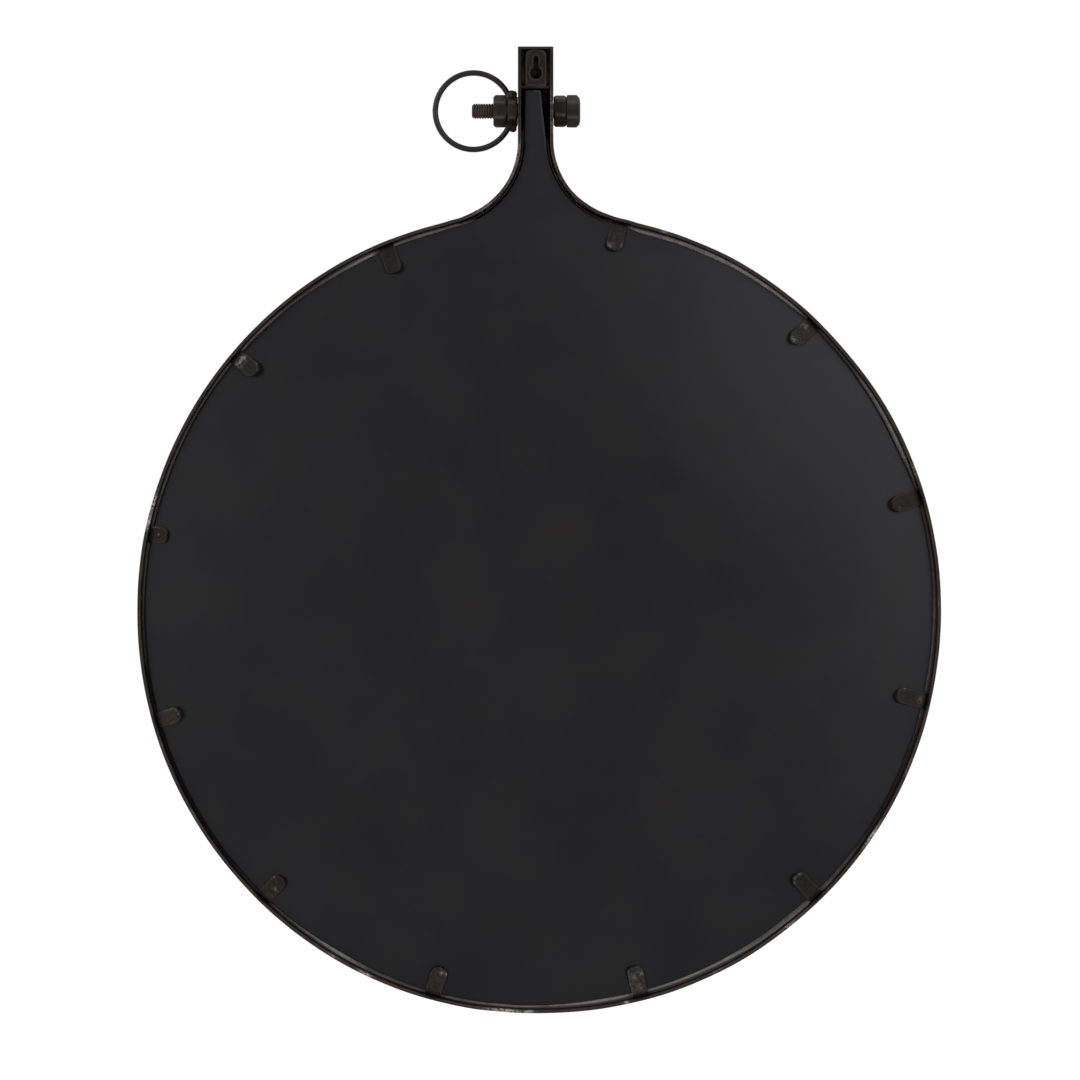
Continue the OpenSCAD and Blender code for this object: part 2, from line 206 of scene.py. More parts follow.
# Each clip in turn: degrees that it leans, bluntness of its tip, how far its lower edge, painted black as the
# shadow of its lifted tip, comes out past the upper one across and towards the middle, in millimetres, how
# brown it is, how grey it is rubbed, and its bright spots, painted as bare metal and as highlights: places
# across it and from the strap, and radius, in millimetres, and strength
CLIP_MAKES = (
    (-3.5, 2.3, (-2.7, 2.3), 0.4, 0.2, ((-3.6, 21, 2.4, 0.35), (1, 24, 1.6, 0.25), (6, 18, 1.0, 0.3))),
    (-5.0, 1.9, (-2.9, 3.0), 0.9, 0.25, ((-3.5, 7, 2.6, 0.4), (-1.5, 21.5, 2.0, 0.6), (0, 24.5, 1.4, 0.5))),
    (0.5, 2.2, (-0.5, 4.3), 0.6, 0.1, ((-3.6, 24.5, 0.8, 0.4), (3.9, 19, 0.9, 0.3))),
    (-1.0, 2.2, (1.7, 3.5), 0.5, 0.1,
     ((-6, 21, 1.0, 0.5), (-4, 25, 1.0, 0.6), (-1, 25.5, 0.8, 0.3), (0, 5, 3, 0.2))),
    (-0.5, 2.2, (2.8, 1.9), 0.2, 0.1, ((-3, 24, 1.4, 0.3), (2, 24.5, 1.4, 0.3), (5, 21.5, 1.0, 0.25))),
    (-1.0, 2.6, (2.3, 1.3), 0.4, 0.5,
     ((-5.5, 18, 1.6, 0.4), (6, 23, 1.0, 0.6), (-1, 8, 1.8, 0.4), (2, 17, 2.0, 0.3))),
    (-1.5, 2.4, (1.1, 1.3), 0.7, 0.2, ((-6, 20.5, 1.2, 0.7), (-1.8, 20, 1.2, 0.6), (0, 24.5, 1.2, 0.2))),
    (0.5, 2.1, (-1.5, 2.0), 0.1, 0.2, ((-1.5, 13.2, 0.9, 1.0), (-4.5, 13, 0.8, 0.5), (5.5, 20, 1.4, 0.25))),
    (3.0, 2.5, (0.4, 3.8), 0.9, 0.2, ((0, 19.5, 0.8, 0.4), (3, 18.5, 0.8, 0.3), (6, 9, 0.8, 0.3))),
    (6.5, 2.9, (0, 2.0), 0.9, 0.0, ((-0.3, 8.3, 0.6, 1.0), (6.4, 3, 0.7, 0.9), (6.4, 5.5, 0.5, 0.7))),
    (2.5, 2.2, (3.4, 4.6), 0.6, 0.0,
     ((-3, 7, 2.4, 0.7), (2.5, 7, 2.4, 0.7), (6, 19, 0.7, 0.9), (2, 22.5, 0.8, 0.9))),
    (-1.0, 2.4, (3.4, 1.8), 0.1, 0.1, ()),
)

# How far pieces keep inside the solids where they would touch the faces of the solids' box
KEEP_INSIDE = 0.05 * MM
# Points nearer than this are one point
SAME_PLACE = 0.001 * MM
# The distance from an arris that stands for nowhere near one
FAR_AWAY = 1.0
# How much welds are rubbed all over, as if they were part of an arris
WELD_EDGE = 0.3
# Steps along the hoop's outlines
FINE_STEP, STRAP_STEP, SHEET_STEP = 1 * MM, 2 * MM, 3 * MM
# Angles round the bolt's axis, from the top towards the wall
AROUND = np.linspace(0, 2 * np.pi, 144, endpoint=False)
SEED = 7


def wander(along, whole, depth, seed, waves=(2, 3, 5, 8, 13)):
    """A smooth line between 0 and depth: the mean of sines that fit a whole number of times into the
    length."""
    draw = np.random.default_rng(SEED + seed)
    phases = draw.uniform(0, 2 * np.pi, len(waves))
    total = sum(np.sin(2 * np.pi * w * along / whole + p) for w, p in zip(waves, phases))
    return depth * (0.5 + 0.5 * total / len(waves))


def lumps(points, size, seed):
    """A smooth field between about -1 and 1 over points in space: the mean of sines along six random
    directions."""
    draw = np.random.default_rng(SEED + seed)
    total = np.zeros(points.shape[:-1])
    for _ in range(6):
        direction = draw.normal(size=3)
        direction /= np.linalg.norm(direction)
        total += np.sin(points @ direction * 2 * np.pi / size * draw.uniform(0.7, 1.5) + draw.uniform(0, 6.28))
    return total / 3


def surface(points, round_rows=False, round_columns=False, **fields):
    """Quads over a grid of points, with the distances along the rows and the columns as its UV map.

    Each quad joins a point to its neighbours along both directions, and where a direction is round, the
    last line of points joins the first."""
    rows, columns = points.shape[:2]
    i, j = np.meshgrid(
        np.arange(rows if round_rows else rows - 1),
        np.arange(columns if round_columns else columns - 1),
        indexing="ij",
    )
    i, j = i.ravel(), j.ravel()
    corners = [(i, j), (i + 1, j), (i + 1, j + 1), (i, j + 1)]
    faces = np.stack([(a % rows) * columns + b % columns for a, b in corners], axis=1)
    row_steps = np.linalg.norm(np.roll(points, -1, axis=0) - points, axis=2).max(axis=1)
    column_steps = np.linalg.norm(np.roll(points, -1, axis=1) - points, axis=2).max(axis=0)
    u = np.concatenate([[0], np.cumsum(row_steps)])
    v = np.concatenate([[0], np.cumsum(column_steps)])
    uv = np.stack([np.stack([u[a], v[b]], axis=1) for a, b in corners], axis=1)
    return {
        "points": points.reshape(-1, 3),
        "faces": faces,
        "uv": uv.reshape(-1, 2),
        "fields": {name: np.broadcast_to(field, (rows, columns)).ravel() for name, field in fields.items()},
    }


def piece(name, surfaces, body, materials, stands_for=(), picks=None):
    """Makes one closed mesh from its surfaces: their points are merged where they meet, so that poles and
    seams close, and its faces are turned outwards. Edges sharper than 35 degrees stay sharp. picks gives
    each face's material by its number."""
    surfaces = surfaces if isinstance(surfaces, list) else [surfaces]
    starts = np.cumsum([0] + [len(s["points"]) for s in surfaces])
    mesh = bpy.data.meshes.new(name)
    points = np.concatenate([s["points"] for s in surfaces])
    faces = np.concatenate([s["faces"] + start for s, start in zip(surfaces, starts)])
    mesh.from_pydata(points.tolist(), [], faces.tolist())
    uv = np.concatenate([s["uv"] for s in surfaces])
    mesh.uv_layers.new(name="surface").uv.foreach_set("vector", uv.ravel())
    for field in surfaces[0]["fields"]:
        values = np.concatenate([s["fields"][field] for s in surfaces]).astype(np.float32)
        mesh.attributes.new(field, "FLOAT", "POINT").data.foreach_set("value", values)
    for material in materials:
        mesh.materials.append(material)
    if picks is not None:
        mesh.polygons.foreach_set("material_index", picks.astype(np.int32))
    shell = bmesh.new()
    shell.from_mesh(mesh)
    bmesh.ops.remove_doubles(shell, verts=shell.verts, dist=SAME_PLACE)
    bmesh.ops.recalc_face_normals(shell, faces=shell.faces)
    shell.to_mesh(mesh)
    shell.free()
    mesh.shade_smooth()
    mesh.set_sharp_from_angle(angle=math.radians(35))
    made = bpy.data.objects.new(name, mesh)
    bpy.context.scene.collection.objects.link(made)
    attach(made, body)
    if stands_for:
        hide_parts(*stands_for)
    return made


def spots(points, places):
    """The sum of round spots that fade like a bell curve, in X and Z, kept under 1."""
    total = np.zeros(points.shape[:-1])
    for x, z, radius, strength in places:
        away = np.hypot(points[..., X] - x * MM, points[..., Z] - z * MM)
        total += strength * np.exp(-((away / (radius * MM)) ** 2))
    return np.minimum(total, 1)


def round_the_hoop(points):
    """The angle of points about the hoop's middle, in degrees from the top towards -X, from 0 to 360."""
    return np.mod(np.degrees(np.arctan2(HOOP_X - points[..., X], points[..., -1] - HOOP_Z)), 360)


def read_table(angles, table):
    """The value of a table at each angle: between its rows it goes along a half cosine, and it closes on
    itself."""
    at = np.array([row[0] for row in table] + [table[0][0] + 360])
    value = np.array([row[1] for row in table] + [table[0][1]])
    wrapped = np.where(angles < at[0], angles + 360, angles)
    row = np.clip(np.searchsorted(at, wrapped, side="right") - 1, 0, len(at) - 2)
    share = (wrapped - at[row]) / (at[row + 1] - at[row])
    return value[row] + (value[row + 1] - value[row]) * (0.5 - 0.5 * np.cos(np.pi * share))


def arcs(angles, places):
    """The sum of marks along the hoop, each a bell curve of the angle, kept under 1."""
    total = np.zeros(angles.shape)
    for middle, half, strength in places:
        away = np.mod(angles - middle + 180, 360) - 180
        total += strength * np.exp(-((away / half) ** 2))
    return np.minimum(total, 1)


def hand_bend(outline):
    """Moves an outline in towards the hoop's middle, or out, by the table of the hand-bent strap."""
    middle = np.array([HOOP_X, HOOP_Z])
    away = outline - middle
    length = np.linalg.norm(away, axis=1, keepdims=True)
    bend = read_table(round_the_hoop(outline), HAND_BENDS)[:, None] * MM
    return middle + away * (length - bend) / length


def near_edge(distance, reach=0.8 * MM):
    """How near a point is to an arris, from 1 on it to 0 far away: it falls off exponentially."""
    return np.exp(-np.asarray(distance) / reach)


def lean_points(points, centre, degrees):
    """Turns points about a line through a place and towards the viewer, which mixes X and Z by the angle's
    cosine and sine."""
    cosine, sine = math.cos(math.radians(degrees)), math.sin(math.radians(degrees))
    x, y, z = np.moveaxis(points - centre, -1, 0)
    return np.stack([x * cosine + z * sine, y, z * cosine - x * sine], axis=-1) + centre


def repeat_ends(rows):
    """The rows again, with the first and the last one doubled."""
    return np.concatenate([rows[:1], rows, rows[-1:]])


def shut_ends(points):
    """A tube's grid with a row more at each end, all of it in the middle of the ring beside it."""
    shut = repeat_ends(points)
    shut[0], shut[-1] = points[0].mean(axis=0), points[-1].mean(axis=0)
    return shut


def face_depths(made):
    """The middle of each face of a surface along Y."""
    return made["points"][made["faces"]][:, :, Y].mean(axis=1)


# Outlines, each a row of points in X and Z


def along_arc(centre, radius, start, end, step):
    """Points on an arc, about one step apart, from one angle to another."""
    count = max(2, int(abs(end - start) * radius / step) + 1)
    angles = np.linspace(start, end, count)
    return np.stack([centre[0] + radius * np.cos(angles), centre[1] + radius * np.sin(angles)], axis=1)


def on_hoop_circle(radius, angles):
    """Points at some angles on a circle about the hoop's middle."""
    return np.stack([HOOP_X + radius * np.cos(angles), HOOP_Z + radius * np.sin(angles)], axis=1)


def distances(line):
    """How far along a line each of its points lies."""
    return np.concatenate([[0], np.cumsum(np.linalg.norm(np.diff(line, axis=0), axis=1))])


def even(line, step, closed=True):
    """The line again, with points an even distance apart. A closed one has a side from its end to its
    start."""
    if closed:
        line = np.concatenate([line, line[:1]])
    lengths = distances(line)
    at = np.linspace(0, lengths[-1], int(lengths[-1] / step), endpoint=not closed)
    return np.stack([np.interp(at, lengths, line[:, k]) for k in (0, 1)], axis=1)


def inward(outline):
    """Unit directions into a closed outline: its tangents turned a quarter turn towards the inside."""
    tangent = np.roll(outline, -1, axis=0) - np.roll(outline, 1, axis=0)
    tangent /= np.maximum(np.linalg.norm(tangent, axis=1, keepdims=True), 1e-12)
    after = np.roll(outline, -1, axis=0)
    area = np.sum(outline[:, 0] * after[:, 1] - after[:, 0] * outline[:, 1])
    normal = np.stack([-tangent[:, 1], tangent[:, 0]], axis=1)
    return normal * np.sign(area)


def rounded_rectangle(left, right, foot, top, radius, step):
    """A rectangle with round corners: four quarter arcs, joined by straight sides."""
    left, right, foot, top = left + radius, right - radius, foot + radius, top - radius
    quarters = [
        along_arc(centre, radius, corner * np.pi / 2, (corner + 1) * np.pi / 2, radius / 4)
        for corner, centre in enumerate([(right, top), (left, top), (left, foot), (right, foot)])
    ]
    return even(np.concatenate(quarters), step)


def flare_arc(side):
    """A flare's arc: its middle, which is one flare radius away from both the neck and the hoop, and the
    angles at which the arc meets the neck and the hoop."""
    x = NECK_X - HOOP_X + side * (NECK_HALF + FLARE_R)
    centre = np.array([HOOP_X + x, HOOP_Z + math.sqrt((HOOP_R + FLARE_R) ** 2 - x * x)])
    at_neck = math.pi if side > 0 else 0.0
    at_hoop = math.atan2(HOOP_Z - centre[1], HOOP_X - centre[0]) + (2 * math.pi if side > 0 else 0.0)
    return centre, at_neck, at_hoop


def hoop_angle(point):
    """The angle of a point about the hoop's middle."""
    return math.atan2(point[1] - HOOP_Z, point[0] - HOOP_X)


def inner_outline(inset, top, step):
    """The hoop and its neck, drawn in from the strap's outer face: the hoop's arc, a flare's arc and a
    straight on each side. The flares are drawn outwards, since their middles lie outside the hoop."""
    parts = []
    for side in (1, -1):
        centre, at_neck, at_hoop = flare_arc(side)
        arc = along_arc(centre, FLARE_R + inset, at_hoop, at_neck, step)
        rise = np.concatenate([arc, [[NECK_X + side * (NECK_HALF - inset), top]]])
        parts.append(rise if side > 0 else rise[::-1])
    start, end = hoop_angle(parts[1][-1]), hoop_angle(parts[0][0]) + 2 * math.pi
    hoop = along_arc((HOOP_X, HOOP_Z), HOOP_R - inset, start, end, step)
    return np.concatenate([parts[0], parts[1], hoop[1:-1]])


# Solids


def rim_section(thickness, rounding, reach):
    """The section round the edge of a plate, from its rear face to its front one: how far in from the edge,
    how deep, and how far from an arris. Each arris is a quarter arc, and the points beside it lie closer
    together than those farther off."""
    beside = np.array([0.4, 1.2, 3, 7, 14]) * MM
    steps = beside[:3][rounding + beside[:3] < reach]
    wall = thickness - 2 * rounding
    marks = beside[beside < wall / 2]
    marks = np.concatenate([marks, [wall / 2], wall - marks[::-1]])
    arc = np.linspace(0, np.pi / 2, 4)
    inwards, down = rounding * (1 - np.sin(arc)), rounding * (1 - np.cos(arc))
    inset = np.concatenate([rounding + steps[::-1], inwards, 0 * marks, inwards[::-1], rounding + steps])
    depth = np.concatenate([0 * steps, down, rounding + marks, thickness - down[::-1], thickness + 0 * steps])
    far = np.concatenate([steps[::-1], 0 * arc, np.minimum(marks, wall - marks), 0 * arc, steps])
    return inset, depth, far


def prism(outer, rear, thickness, rounding, inner=None, middle=None, face_rings=5, reach=5 * MM):
    """A flat plate of a drawn outline, with round arrises.

    Its section runs from the rear face round the outer edge to the front face. Then it comes back round the
    edge of the hole, or both faces close in the middle. Rings between the edges are straight blends of the
    two."""
    inset, depth, far = rim_section(thickness, rounding, reach)
    flat = outer[:, None] + inward(outer)[:, None] * inset[:, None]
    shares = np.linspace(0, 1, face_rings + 2)[1:, None]
    if inner is None:
        middle = np.broadcast_to(middle, outer.shape)[:, None]
        to_middle = flat[:, -1:] + (middle - flat[:, -1:]) * shares
        flat = np.concatenate([to_middle[:, ::-1], flat, to_middle], axis=1)
        face = np.full(face_rings + 1, FAR_AWAY)
        inset = np.concatenate([face, inset, face])
        depth = np.concatenate([0 * face, depth, 0 * face + thickness])
        far = np.concatenate([face, far, face])
    else:
        hole = inner[:, None] - inward(inner)[:, None] * inset[::-1, None]
        front = flat[:, -1:] + (hole[:, :1] - flat[:, -1:]) * shares[:-1]
        back = hole[:, -1:] + (flat[:, :1] - hole[:, -1:]) * shares[:-1]
        flat = np.concatenate([flat, front, hole, back], axis=1)
        face = np.full(face_rings, FAR_AWAY)
        inset = np.concatenate([inset, face, inset[::-1] + FAR_AWAY, face])
        depth = np.concatenate([depth, 0 * face + thickness, depth[::-1], 0 * face])
        far = np.concatenate([far, face, far[::-1], face])
    points = np.stack([flat[:, :, 0], np.broadcast_to(rear - depth, flat.shape[:2]), flat[:, :, 1]], axis=2)
    on_wall = ((depth > 0) & (depth < thickness)).astype(float)
    fields = {"edge": near_edge(far), "side": on_wall, "inset": inset}
    return surface(points, round_rows=True, round_columns=inner is not None, **fields)


def rounded_profile(width, height, radius, gaps):
    """A closed rectangle of the given size about its middle, with quarter-round corners, and on its sides
    points at the given distances from the corners. Gives the points and their distances from an arris."""
    points, far = [], []
    centres = (np.array([width, height]) / 2 - radius) * [(1, 1), (-1, 1), (-1, -1), (1, -1)]
    gaps = np.array(gaps)
    for corner, centre in enumerate(centres):
        angle = np.linspace(corner, corner + 1, 4) * np.pi / 2
        arc = centre + radius * np.stack([np.cos(angle), np.sin(angle)], axis=1)
        side = centres[(corner + 1) % 4] - centre
        length = np.linalg.norm(side)
        near = gaps[gaps < length / 2]
        marks = np.concatenate([near, [length / 2], length - near[::-1]])
        points += [arc, arc[-1] + side * marks[:, None] / length]
        far += [0 * angle, np.minimum(marks, length - marks)]
    return np.concatenate(points), np.concatenate(far)


def strap_line(step):
    """The strap's outer face, from one end of the neck round the hoop to the other: a straight, a flare's
    arc, the hoop's arc, a flare's arc and a straight. Gives the points and their outward directions."""
    points, outward = [], []
    neck_count = math.ceil((CAP_FOOT - flare_arc(1)[0][1]) / step)
    for side in (1, -1):
        centre, at_neck, at_hoop = flare_arc(side)
        heights = np.linspace(CAP_FOOT, centre[1], neck_count)
        neck = np.stack([np.full(len(heights), NECK_X + side * NECK_HALF), heights], axis=1)
        flare = along_arc(centre, FLARE_R, at_neck, at_hoop, step)[1:]
        run = np.concatenate([neck, flare])
        directions = np.concatenate([np.tile([float(side), 0.0], (len(neck), 1)), (centre - flare) / FLARE_R])
        points.append(run if side > 0 else run[::-1])
        outward.append(directions if side > 0 else directions[::-1])
    start, end = hoop_angle(points[0][-1]), hoop_angle(points[1][0]) - 2 * math.pi
    hoop = along_arc((HOOP_X, HOOP_Z), HOOP_R, start, end, step)[1:-1]
    middle = (hoop - [HOOP_X, HOOP_Z]) / HOOP_R
    return np.concatenate([points[0], hoop, points[1]]), np.concatenate([outward[0], middle, outward[1]])


def swept_strap():
    """The strap: a rounded profile carried along the hand-bent line, pressed in and filed back at its rear
    edge here and there by a fraction of a millimetre."""
    width = REAR - FRONT
    line, outward = strap_line(STRAP_STEP)
    angle = round_the_hoop(line)
    line = hand_bend(line)
    profile, far = rounded_profile(STRAP_T, width, STRAP_ARRIS, np.array([0.5, 1.2, 2.5, 5, 9]) * MM)
    along = distances(line)
    pressed = wander(along, along[-1], depth=0.08 * MM, seed=1, waves=(13, 27, 41, 67))
    filed = wander(along, along[-1], depth=0.25 * MM, seed=2, waves=(5, 9, 16, 31, 47))
    across = STRAP_T / 2 - profile[:, 0]
    flat = line[:, None] - outward[:, None] * (across[:, None] + pressed[:, None, None])
    depth = REAR - width / 2 + profile[:, 1]
    trimmed = depth - filed[:, None] * (profile[:, 1] / (width / 2)).clip(0)
    points = np.stack([flat[:, :, 0], trimmed, flat[:, :, 1]], axis=2)
    points[:, :, X] = points[:, :, X].clip(cad_low[X], cad_high[X])
    # Painted shade: the strap's inner face is black beside the clips on one side of the hoop
    clip_shade = [(a, CLIP_SHADE_HALF, 1) for a in CLIP_ANGLES if CLIP_SHADE_FROM < a < CLIP_SHADE_TO]
    neck_darkening = NECK_DARKENING * np.clip((points[:, 0, Z] - NECK_DARKENING_FOOT) / NECK_DARKENING_FADE, 0, 1)
    at_rear = np.exp(-((width / 2 - profile[:, 1]) / WORN_REACH))
    by_clip = (across > 0.6 * STRAP_T) & (depth > BOARD_FRONT)
    fields = {
        "rusty": np.maximum(arcs(angle, RUSTY_ARCS), spots(points[:, 0], NECK_RUSTY))[:, None] * at_rear,
        "rubbed": np.maximum(arcs(angle, RUBBED_ARCS), spots(points[:, 0], NECK_RUBBED_AND_HIGHLIGHTS))[:, None] * at_rear,
        # Painted shade beside the clips, and the darkening towards the neck's top
        "burnt": np.maximum(arcs(angle, clip_shade)[:, None] * by_clip, neck_darkening[:, None]),
    }
    fields = {name: repeat_ends(field) for name, field in fields.items()}
    return surface(shut_ends(points), round_columns=True, edge=near_edge(far), **fields)


def lathe(rows, turn=0.0):
    """A surface turned on the bolt's axis: for each row, a place along the axis and a radius, each one
    number or one for every angle."""
    angles = AROUND + math.radians(turn)
    x = np.stack([np.broadcast_to(row[0], angles.shape) for row in rows])
    r = np.stack([np.broadcast_to(row[1], angles.shape) for row in rows])
    return np.stack([x, BOLT_Y + r * np.sin(angles), BOLT_Z + r * np.cos(angles)], axis=2)


def eased(rows, reach):
    """Rows with their corners eased: each corner becomes four points of a parabola that starts and ends one
    reach away from it, or less where the next corner is near."""
    rows = [np.stack([np.broadcast_to(v, AROUND.shape).astype(float) for v in row]) for row in rows]
    made = [rows[0]]
    for before, corner, after in zip(rows, rows[1:], rows[2:]):
        ends = []
        for side in (before - corner, after - corner):
            length = np.maximum(np.linalg.norm(side, axis=0), 1e-9)
            ends.append(corner + side / length * np.minimum(reach, length * 0.45))
        for t in (0, 0.35, 0.65, 1):
            made.append((1 - t) ** 2 * ends[0] + 2 * t * (1 - t) * corner + t * t * ends[1])
    made.append(rows[-1])
    return made


def hexagon():
    """The radius of a hexagon with worn corners at each angle round the axis: the distance to its flat
    divided by the cosine, cut off smoothly a little inside its corners."""
    flat = HEX_W / 2 / np.cos(np.mod(AROUND, np.pi / 3) - np.pi / 6)
    corner = HEX_R - HEX_WORN
    soft = 0.25 * MM
    share = np.clip(0.5 + 0.5 * (corner - flat) / soft, 0, 1)
    return corner + (flat - corner) * share - soft * share * (1 - share)


def from_axis(points):
    """How far points are from the bolt's axis."""
    return np.linalg.norm(points[:, :, 1:] - [BOLT_Y, BOLT_Z], axis=2)


def weathered(points):
    """How the bolt and the nuts have weathered: rubbed at their corners, brown where they look up or down,
    and wiped grey on the side towards the wall and away from it."""
    high = from_axis(points)
    up = np.abs(points[:, :, Z] - BOLT_Z) / np.maximum(high, MM)
    rubbed_from = HEX_R - 1.2 * MM
    return {"edge": np.clip((high - rubbed_from) / MM, 0, 1), "tint": np.clip((up - 0.35) / 0.3, 0, 1)}


def nut(node, turn=0.0):
    """A hexagon nut: from its bore over a face, a turned chamfer, the flats, the other chamfer and face,
    back to the bore. A chamfer is a cone, so it meets each flat in a curve."""
    low, high = place(node, X)
    low, high = low - JAMMED, high + JAMMED
    flats = hexagon()
    face_r = HEX_R - HEX_CHAMFER
    meets = np.maximum(flats - face_r, LEAST_CHAMFER)
    rows = [
        (low + BORE_CHAMFER, NUT_BORE_R),
        (low, NUT_BORE_R + BORE_CHAMFER),
        (low, face_r),
        (low + meets, flats),
        (high - meets, flats),
        (high, face_r),
        (high, NUT_BORE_R + BORE_CHAMFER),
        (high - BORE_CHAMFER, NUT_BORE_R),
    ]
    points = lathe(eased(rows, reach=0.35 * MM), -turn)
    return surface(points, round_rows=True, round_columns=True, **weathered(points))


def thread_radius(x, angle):
    """The thread's radius: a rounded zigzag in the distance along the axis, flat at its crests and roots,
    which moves on by one pitch a turn, kept under a cone at the tip."""
    phase = np.mod(x / THREAD_PITCH - angle / (2 * np.pi), 1)
    zigzag = np.clip(1.25 * np.abs(2 * phase - 1) - 0.08, 0, 1)
    roundness = 0.6
    rounded = zigzag * zigzag * (3 - 2 * zigzag) * roundness + zigzag * (1 - roundness)
    tip = BOLT_R - np.maximum(x - (THREAD_END - THREAD_TAPER), 0)
    return np.minimum(BOLT_R - KEEP_INSIDE - THREAD_DEPTH * (1 - rounded), tip)


def bolt_surfaces():
    """The bolt in three surfaces that meet: its head, its thread and the thread's end. The head is turned
    like a nut, with a larger chamfer outside and a low crown. The thread is one ribbon, a pitch wide, wound
    along the axis."""
    flats = hexagon()
    under = HEAD_END + HEAD_T + JAMMED
    crown_r = HEX_R - HEAD_CHAMFER
    near_r = HEX_R - HEAD_UNDER_CHAMFER
    dip, crown_w = 0.1 * MM, 3 * MM
    rows = [
        (HEAD_END + dip, 0),
        (HEAD_END, crown_r - crown_w),
        (HEAD_END + HEAD_CROWN, crown_r),
        (HEAD_END + HEAD_CROWN + np.maximum(flats - crown_r, 0), flats),
        (under - np.maximum(flats - near_r, LEAST_CHAMFER), flats),
        (under, near_r),
        (under, BOLT_R),
    ]
    head = lathe(eased(rows, reach=0.4 * MM) + [(under, thread_radius(under, AROUND))])
    turns = math.ceil((THREAD_END - under) / THREAD_PITCH) + 2
    wound = np.linspace(0, 2 * np.pi * turns, turns * len(AROUND) + 1)[:, None]
    across = np.linspace(0, 1, 11)
    x = np.clip(under + THREAD_PITCH * (wound / (2 * np.pi) + across - 1), under, THREAD_END)
    r = thread_radius(x, wound)
    ribbon = np.stack([x, BOLT_Y + r * np.sin(wound), BOLT_Z + r * np.cos(wound)], axis=2)
    end_r = thread_radius(THREAD_END, AROUND)
    end = lathe([(THREAD_END, end_r), (THREAD_END, end_r * 0.5), (THREAD_END, 0)])
    return [
        surface(head, round_columns=True, **weathered(head)),
        surface(ribbon, edge=(r - (BOLT_R - THREAD_DEPTH)) / THREAD_DEPTH, tint=0.0),
        surface(end, round_columns=True, edge=0.0, tint=0.0),
    ]


def ring_surface():
    """The ring: a round wire carried round an arc that is open at the nut, flattened a little here and
    there. Its ends lie a little inside the hexagon's corners."""
    open_half = math.asin(0.87 * HEX_R / RING_R)
    a = np.linspace(open_half, 2 * np.pi - open_half, 260)[:, None]
    b = np.linspace(0, 2 * np.pi, 28, endpoint=False)
    wire = RING_WIRE_R - wander(a, 2 * np.pi, depth=0.06 * MM, seed=5, waves=(3, 7, 11)) - KEEP_INSIDE
    bend_r = RING_R - wander(a, 2 * np.pi, depth=0.15 * MM, seed=6, waves=(2, 3, 4))
    radius = bend_r + wire * np.cos(b)
    x, y, z = RING_X - radius * np.cos(a), BOLT_Y + wire * np.sin(b), BOLT_Z + radius * np.sin(a)
    return surface(shut_ends(np.stack([x, y, z], axis=2)), round_columns=True, edge=0.0)


def weld_lump(centre, radii, knobs, seed, lean=0.0):
    """A lump of weld: an ellipsoid whose radius rises and falls with a smooth random field, leaned over
    about the line to the viewer."""
    t = np.linspace(0, np.pi, 30)[:, None]
    p = np.linspace(0, 2 * np.pi, 44, endpoint=False)
    unit = np.stack([np.sin(t) * np.cos(p), np.sin(t) * np.sin(p), np.cos(t) + 0 * p], axis=2)
    swell = 1 + knobs * lumps(unit, 1.5, seed) + 0.4 * knobs * lumps(unit, 0.6, seed + 1)
    points = lean_points(unit * swell[:, :, None] * radii + centre, centre, lean)
    return surface(points, round_columns=True, edge=WELD_EDGE)


def weld_bead(path, radius, seed, ripple=1.4 * MM):
    """A run of weld along a path: a round bead whose radius ripples once for each drop of metal, and which
    is shut at both ends like a superellipse."""
    path = np.asarray(path, float)
    lengths = distances(path)
    s = np.linspace(0, 1, max(12, int(lengths[-1] / (ripple / 7))))
    middle = np.stack([np.interp(s * lengths[-1], lengths, path[:, k]) for k in (X, Y, Z)], axis=1)
    b = np.linspace(0, 2 * np.pi, 14, endpoint=False)[:, None]
    axis = np.gradient(middle, axis=0)
    axis /= np.linalg.norm(axis, axis=1, keepdims=True)
    side = np.cross(axis, [0, 1, 0] if abs(axis[0, Y]) < 0.9 else [1, 0, 0])
    side /= np.linalg.norm(side, axis=1, keepdims=True)
    other = np.cross(axis, side)
    shut = np.sqrt(np.clip(1 - (2 * s - 1) ** 8, 0, 1))
    ripples = 0.12 * np.cos(2 * np.pi * s * lengths[-1] / ripple)
    swell = radius * shut * (1 + ripples + wander(s, 1, depth=0.15, seed=seed))
    ring = side[:, None] * np.cos(b) + other[:, None] * np.sin(b)
    points = middle[:, None] + ring * swell[:, None, None]
    return surface(points, round_columns=True, edge=WELD_EDGE)


def clip_line(out, share, lift):
    """A clip's middle line, from its foot to its tip, in a plane through the hoop's middle: up the strap,
    round a quarter bend and in over the board, where it is lifted like a parabola. Gives for each of its
    points the distance from the hoop's middle, the place along Y, and the share of the way in from the bend,
    and then how long that way is."""
    bend_r = CLIP_BEND_R + CLIP_T / 2
    length = CLIP_LENGTH * share - bend_r - CLIP_T / 2
    foot = np.linspace(BOARD_FRONT, BOARD_REAR - CLIP_BEND_R, 5)
    bend = np.linspace(0, np.pi / 2, 9)[1:]
    tab = np.sin(np.linspace(0, 1, 56)[1:] * np.pi / 2)
    run = np.concatenate([0 * foot, bend_r * (1 - np.cos(bend)), bend_r + length * tab])
    depth = np.concatenate([foot, foot[-1] + bend_r * np.sin(bend), np.full(len(tab), foot[-1] + bend_r)])
    inwards = (run - bend_r) / length
    return out - run, depth + lift * inwards.clip(0) ** 2, inwards, length


